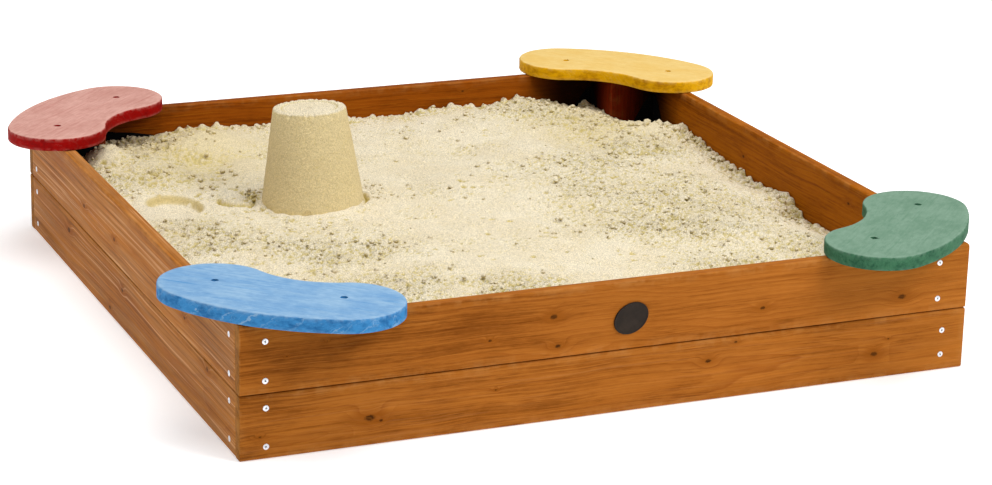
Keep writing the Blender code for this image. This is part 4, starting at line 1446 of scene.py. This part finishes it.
def add_crumbs(xs, ys, height, rough, damp_and_shade, material):
    """Loose crumbs of clumped sand, pressed a little into the bed."""
    rng = np.random.default_rng(404)
    wide = HALF - SAND_CLEAR - 0.004
    narrow = wide - POST - 0.004
    base = bmesh.new()
    bmesh.ops.create_icosphere(base, subdivisions=1, radius=1.0)
    ball = [item.co.copy() for item in base.verts]
    ball_faces = [[item.index for item in face.verts] for face in base.faces]
    base.free()
    points = []
    faces = []
    hollow_shade = []
    damp_and_shade_values = []

    def crumb(x, y, radius):
        i = nearest(xs, x)
        j = nearest(ys, y)
        stretch = rng.uniform(0.75, 1.25, 3)
        spin = Matrix.Rotation(rng.uniform(0, math.tau), 3, "Z")
        turn = spin @ Matrix.Rotation(rng.uniform(-0.6, 0.6), 3, "X")
        lift = height[i, j] + radius * rng.uniform(0.05, 0.45)
        # Painted shade on each crumb's underside and on crumbs in the pits at the castle's foot, and the
        # bed's own painted shade below
        beside = 0.45 if nook_distance(x, y) < 0.022 else 0.0
        start = len(points)
        for corner in ball:
            bulge = radius * rng.uniform(0.80, 1.12)
            spot = turn @ Vector([corner[k] * bulge * stretch[k] for k in range(3)])
            points.append((x + spot.x, y + spot.y, lift + spot.z * 0.85))
            hollow_shade.append(beside + 0.75 * max(0.0, 0.25 - corner[2]) + 0.12 * rng.random())
        damp_and_shade_values.extend([damp_and_shade[i, j]] * len(ball))
        faces.extend([start + k for k in face] for face in ball_faces)

    def fits(x, y):
        if abs(x) > wide or abs(y) > wide or (abs(x) > narrow and abs(y) > narrow):
            return False
        return math.hypot(x - CASTLE_X, y - CASTLE_Y) > CASTLE_BASE_RADIUS + 0.010

    def strew(count, centre_x, centre_y, spread_x, spread_y, smallest, largest):
        for _ in range(count):
            x = rng.normal(centre_x, spread_x)
            y = rng.normal(centre_y, spread_y)
            radius = smallest + (largest - smallest) * rng.random() ** 2
            if fits(x, y):
                crumb(x, y, radius)

    made = 0
    while made < CRUMB_COUNT:
        x, y = rng.uniform(-wide, wide, 2)
        i = nearest(xs, x)
        j = nearest(ys, y)
        if fits(x, y) and rng.random() < 0.02 + 0.98 * rough[i, j] ** 1.3:
            crumb(x, y, 0.0019 + 0.0030 * rng.random() ** 2.2)
            made += 1
    for group in CRUMB_GROUPS:
        strew(*group)
    fields = {"cavity_shade": hollow_shade, "damp_and_shade": damp_and_shade_values, "crumbly": [0.4] * len(points)}
    bm = bmesh_with_fields(points, faces, fields)
    obj = object_of("sand_bed_crumbs", bm, material)
    return finish_piece(obj, "dry_sand", "sand_bed")


def add_sand_bed(material):
    """The heap that fills the pit round the four posts, down to the groundsheet."""
    wide = HALF - SAND_CLEAR
    narrow = wide - POST
    xs = grid_lines(wide, narrow, 0.00365)
    ys = grid_lines(wide, narrow, 0.00365)
    height, cavity_shade, damp_and_shade, rough = sand_field(xs, ys)
    height = np.clip(height, 0.06, CASTLE_BASE_Z + CASTLE_HEIGHT)
    add_crumbs(xs, ys, height, rough, damp_and_shade, material)
    count_x, count_y = len(xs), len(ys)
    open_x = np.abs(xs) <= narrow + 1e-9
    open_y = np.abs(ys) <= narrow + 1e-9
    used = open_x[:, None] | open_y[None, :]
    number = np.full((count_x, count_y), -1)
    number[used] = np.arange(used.sum())
    x, y = np.meshgrid(xs, ys, indexing="ij")
    verts = np.stack([x[used], y[used], height[used]], axis=1)
    corners = [number[:-1, :-1], number[1:, :-1], number[1:, 1:], number[:-1, 1:]]
    mid_x = np.abs((xs[:-1] + xs[1:]) / 2)[:, None] + 0 * ys[None, :-1]
    mid_y = np.abs((ys[:-1] + ys[1:]) / 2)[None, :] + 0 * xs[:-1, None]
    quads = np.stack([c.ravel() for c in corners], axis=1)
    quads = quads[((mid_x < narrow) | (mid_y < narrow)).ravel() & (quads >= 0).all(axis=1)]

    fields = {"cavity_shade": cavity_shade[used], "damp_and_shade": damp_and_shade[used], "crumbly": rough[used]}
    bm = bmesh_with_fields(verts.tolist(), quads.tolist(), fields)
    rim = [edge for edge in bm.edges if edge.is_boundary]
    bottom = SHEET_LIFT + SHEET_THICKNESS + TOUCH
    for depth in (0.5, 1.0):
        grown = bmesh.ops.extrude_edge_only(bm, edges=rim)["geom"]
        for item in grown:
            if isinstance(item, bmesh.types.BMVert):
                item.co.z = bottom if depth == 1.0 else 0.08
        rim = [item for item in grown if isinstance(item, bmesh.types.BMEdge) and item.is_boundary]
    bmesh.ops.holes_fill(bm, edges=[edge for edge in bm.edges if edge.is_boundary])
    obj = object_of("sand_bed_heap", bm, material, sharp=75)
    return finish_piece(obj, "dry_sand", "sand_bed")


def add_castle(material):
    """Moulded sand, leaning a little: grainy sides, a crumbled rim and a ring pressed in the top."""
    sides = 220
    lip = 0.0032
    inner = CASTLE_TOP_RADIUS - lip
    levels = []
    for share in np.linspace(0.0, 1.0, 84):
        radius = CASTLE_BASE_RADIUS + (CASTLE_TOP_RADIUS - CASTLE_BASE_RADIUS) * share
        levels.append((radius, (CASTLE_HEIGHT - lip) * share, 0.0))
    for step in range(1, 6):
        angle = math.radians(90) * step / 5
        z = CASTLE_HEIGHT - lip * (1 - math.sin(angle))
        levels.append((CASTLE_TOP_RADIUS - lip * (1 - math.cos(angle)), z, math.sin(angle)))
    for radius in np.arange(inner - 0.0014, 0.0014, -0.0014):
        groove = 0.0022 * math.exp(-(((radius - CASTLE_RING_RADIUS) / 0.0017) ** 2))
        dish = 0.0014 * float(smooth_step(CASTLE_RING_RADIUS, CASTLE_RING_RADIUS - 0.005, radius))
        levels.append((float(radius), CASTLE_HEIGHT - groove - dish, 1.0))

    rng = np.random.default_rng(88)
    angles = np.arange(sides) * math.tau / sides
    round_x = np.cos(angles)
    round_y = np.sin(angles)
    chips = np.clip(fractal_noise(round_x * 7 + 9, round_y * 7 + 9, 67, 4) - 0.05, 0, None)
    foot_chips = np.clip(fractal_noise(round_x * 5 + 30, round_y * 5 + 30, 69, 4), 0, None)
    bm = bmesh.new()
    cavity_shade_layer = bm.verts.layers.float.new("cavity_shade")
    damp_layer = bm.verts.layers.float.new("damp_and_shade")
    loose_layer = bm.verts.layers.float.new("crumbly")
    lean_x, lean_y = CASTLE_LEAN

    def place(x, y, z):
        dip = (lean_x * x + lean_y * y) * z / CASTLE_HEIGHT
        return CASTLE_X + x + lean_x * z, CASTLE_Y + y + lean_y * z, CASTLE_BASE_Z + TOUCH + z - dip

    made = []
    for radius, z, top in levels:
        coarse = fractal_noise(round_x * radius * 60 + 50, round_y * radius * 60 + z * 60 + 4, 61, 3)
        fine = fractal_noise(round_x * radius * 300 + 50, round_y * radius * 300 + z * 260 + 50, 63, 2)
        grit = rng.normal(0.0, 1.0, sides)
        rough = 0.00022 * fine + 0.00016 * grit
        foot = max(0.0, 1 - z / 0.012)
        rim = float(smooth_fall(CASTLE_HEIGHT - z, 0.010)) * float(smooth_step(inner - 0.008, inner, radius))
        spread = radius - 0.0004 + rough * (1 - top) + 0.0004 * coarse * (1 - top)
        spread = spread - foot * 0.004 * foot_chips - rim * 0.0030 * chips
        spread = np.minimum(spread, radius)
        rise = z - 0.0002 + rough * top - rim * 0.0030 * chips
        rise = np.clip(rise, 0.0, CASTLE_HEIGHT)
        groove = math.exp(-(((radius - CASTLE_RING_RADIUS) / 0.0024) ** 2)) * top
        ring = []
        for k in range(sides):
            item = bm.verts.new(place(spread[k] * round_x[k], spread[k] * round_y[k], rise[k]))
            # Painted shade in the ring's groove and in the dips of the sides; the sides are damp, most at
            # the foot
            item[cavity_shade_layer] = 0.42 * groove + 0.34 * (1 - top) * max(0.0, -float(fine[k]))
            item[damp_layer] = (1 - top) * (0.80 + 0.20 * foot)
            item[loose_layer] = 0.25 + 0.5 * rim
            ring.append(item)
        made.append(ring)
    bridge(bm, made)
    bm.faces.new(made[0])
    middle = bm.verts.new(place(0.0, 0.0, CASTLE_HEIGHT - 0.0014))
    for i in range(sides):
        bm.faces.new((made[-1][i], made[-1][(i + 1) % sides], middle))
    obj = object_of("sand_castle_moulded", bm, material, sharp=60)
    return finish_piece(obj, "damp_sand", "sand_castle")


def pit_outline(margin, step):
    """Plan of the pit inside the planks and round the four posts, with points every step."""
    wide = HALF - BOARD - TOUCH - margin
    narrow = wide - POST
    corners = []
    for sx, sy in ((1, 1), (-1, 1), (-1, -1), (1, -1)):
        corner = [(sx * wide, sy * narrow), (sx * narrow, sy * narrow), (sx * narrow, sy * wide)]
        corners += corner if sx * sy > 0 else list(reversed(corner))
    points = []
    for (x1, y1), (x2, y2) in zip(corners, corners[1:] + corners[:1]):
        count = max(1, round(math.hypot(x2 - x1, y2 - y1) / step))
        points += [(x1 + (x2 - x1) * k / count, y1 + (y2 - y1) * k / count) for k in range(count)]
    return points


def skirt_top(x, y):
    """How high the groundsheet is folded up: low along the walls, bunched higher beside the posts."""
    wide = HALF - BOARD - TOUCH
    narrow = wide - POST
    # The folds bunched beside the posts are black sheet that also stands in for the deep shade of those
    # corners
    to_fold = min(
        math.hypot(abs(x) - wide, abs(y) - narrow),
        math.hypot(abs(x) - narrow, abs(y) - wide),
    )
    to_corner = math.hypot(x + wide, y - wide)
    rise = max(
        FOLD_RISE * float(smooth_fall(to_fold, FOLD_REACH)),
        BACK_LEFT_RISE * float(smooth_fall(to_corner, BACK_LEFT_REACH)),
    )
    if x > narrow:
        rise -= RIGHT_DIP * float(smooth_fall(abs(y - RIGHT_DIP_Y), RIGHT_DIP_REACH))
    wave = max(-1.0, min(1.0, noise_at(x * 26 + 30, y * 26 + 30, 77)))
    return SHEET_SKIRT_TOP + rise + SKIRT_WAVE * wave - SKIRT_WAVE


def add_groundsheet(material):
    """A woven tray that lines the pit: its skirt runs up the walls and round the posts."""
    outer = pit_outline(TOUCH, 0.010)
    inner = pit_outline(TOUCH + SHEET_THICKNESS, 0.010)
    count = len(outer)
    assert len(inner) == count
    levels = 12
    bm = bmesh.new()

    def ring(points, share, base):
        return [bm.verts.new((x, y, base + (skirt_top(x, y) - base) * share)) for x, y in points]

    rings = [ring(outer, k / levels, SHEET_LIFT) for k in range(levels + 1)]
    rings += [ring(inner, k / levels, SHEET_LIFT + SHEET_THICKNESS) for k in range(levels, -1, -1)]
    bridge(bm, rings)
    bm.faces.new(rings[0])
    bm.faces.new(rings[-1])
    obj = object_of("groundsheet_liner", bm, material, sharp=50)
    finish_piece(obj, "groundsheet", "groundsheet")
    wide = 2 * (HALF - BOARD - TOUCH)
    step = wide * 4 / count
    skirt_area = sum((skirt_top(x, y) - SHEET_LIFT) * step for x, y in outer)
    return obj


def add_disc(material):
    """A plain oval disc with a softly raised rim."""
    _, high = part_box("badge_disc")
    half = DISC_HALF_LONG
    profile = [
        (0.0, 0.0),
        (half - 0.0003, 0.0),
        (half, 0.0003),
        (half, DISC_THICKNESS - 0.0008),
        (half - 0.0003, DISC_THICKNESS - 0.0002),
        (half - 0.0009, DISC_THICKNESS),
        (half - 0.0018, DISC_THICKNESS - 0.0001),
        (half - 0.0024, DISC_THICKNESS - 0.0006),
        (half - 0.0034, DISC_THICKNESS - 0.0007),
        (half * 0.5, DISC_THICKNESS - 0.0006),
        (0.0, DISC_THICKNESS - 0.0006),
    ]
    tilt = Matrix.Rotation(DISC_TILT, 4, "Z")
    narrowed = Matrix.Diagonal((1.0, DISC_HALF_SHORT / half, 1.0, 1.0))
    place = Matrix.Translation((DISC_X, high.y, DISC_Z)) @ OUTWARDS["front"] @ tilt @ narrowed
    bm = revolve(bmesh.new(), profile, 96, place)
    obj = object_of("plain_badge_disc", bm, material, sharp=35)
    return finish_piece(obj, "dark_disc", "badge_disc")


# ---- studio ----


def add_studio():
    world = bpy.data.worlds.new("studio")
    bpy.context.scene.world = world
    world.use_nodes = True
    background = world.node_tree.nodes["Background"]
    background.inputs["Color"].default_value = (1.0, 1.0, 1.0, 1.0)
    background.inputs["Strength"].default_value = 0.38

    g = Shader("studio_floor")
    tint = g.noise(g.place(), 0.8, 2.0)
    g.set(
        Base_Color=g.mix(g.span(tint, 0.2, 0.8), (0.93, 0.93, 0.93), (0.95, 0.95, 0.95)),
        Roughness=0.9,
        Specular_IOR_Level=0.0,
        Emission_Color=(1.0, 1.0, 1.0),
        Emission_Strength=0.36,
    )
    bm = bmesh.new()
    bmesh.ops.create_grid(bm, x_segments=8, y_segments=8, size=30.0)
    floor = object_of("studio_floor", bm, g.material)
    floor.location.z = -0.0005

    lamps = (  # name, place, aim, width, height, power
        ("overhead", (0.1, -0.2, 3.4), (0.0, 0.0, 0.0), 3.2, 2.8, 92.0),
        ("front_fill", (2.0, -3.0, 3.2), (0.0, 0.0, 0.1), 1.8, 1.5, 92.0),
        ("side_fill", (-3.6, -0.2, 2.2), (0.0, 0.0, 0.1), 2.0, 1.6, 20.0),
    )
    for name, place, aim, width, height, power in lamps:
        data = bpy.data.lights.new(name, "AREA")
        data.shape = "RECTANGLE"
        data.size = width
        data.size_y = height
        data.energy = power
        lamp = bpy.data.objects.new(name, data)
        lamp.location = place
        lamp.rotation_euler = (Vector(aim) - Vector(place)).to_track_quat("-Z", "Y").to_euler()
        bpy.context.scene.collection.objects.link(lamp)


CAMERA_PLACE = (-1.75935, -4.19877, 1.53347)
CAMERA_TURN = (72.37228, -1.27556, -22.89363)  # degrees
CAMERA_LENS = 104.787  # mm


def add_camera():
    data = bpy.data.cameras.new("camera")
    data.sensor_width = 36.0
    data.lens = CAMERA_LENS
    data.clip_end = 100.0
    camera = bpy.data.objects.new("camera", data)
    camera.location = CAMERA_PLACE
    camera.rotation_euler = [math.radians(angle) for angle in CAMERA_TURN]
    bpy.context.scene.collection.objects.link(camera)
    bpy.context.scene.camera = camera
    bpy.context.scene.view_settings.view_transform = "Standard"


def main():
    places = screw_places()
    add_planks(places)
    add_posts(places)
    add_screws(places, zinc_material())
    add_seats(places)
    sand = sand_material("dry_sand_grains", *DRY_SAND)
    damp_and_shade = sand_material("damp_sand_grains", *DAMP_SAND)
    add_sand_bed(sand)
    add_castle(damp_and_shade)
    add_groundsheet(groundsheet_material())
    add_disc(disc_material())
    add_studio()
    add_camera()


main()
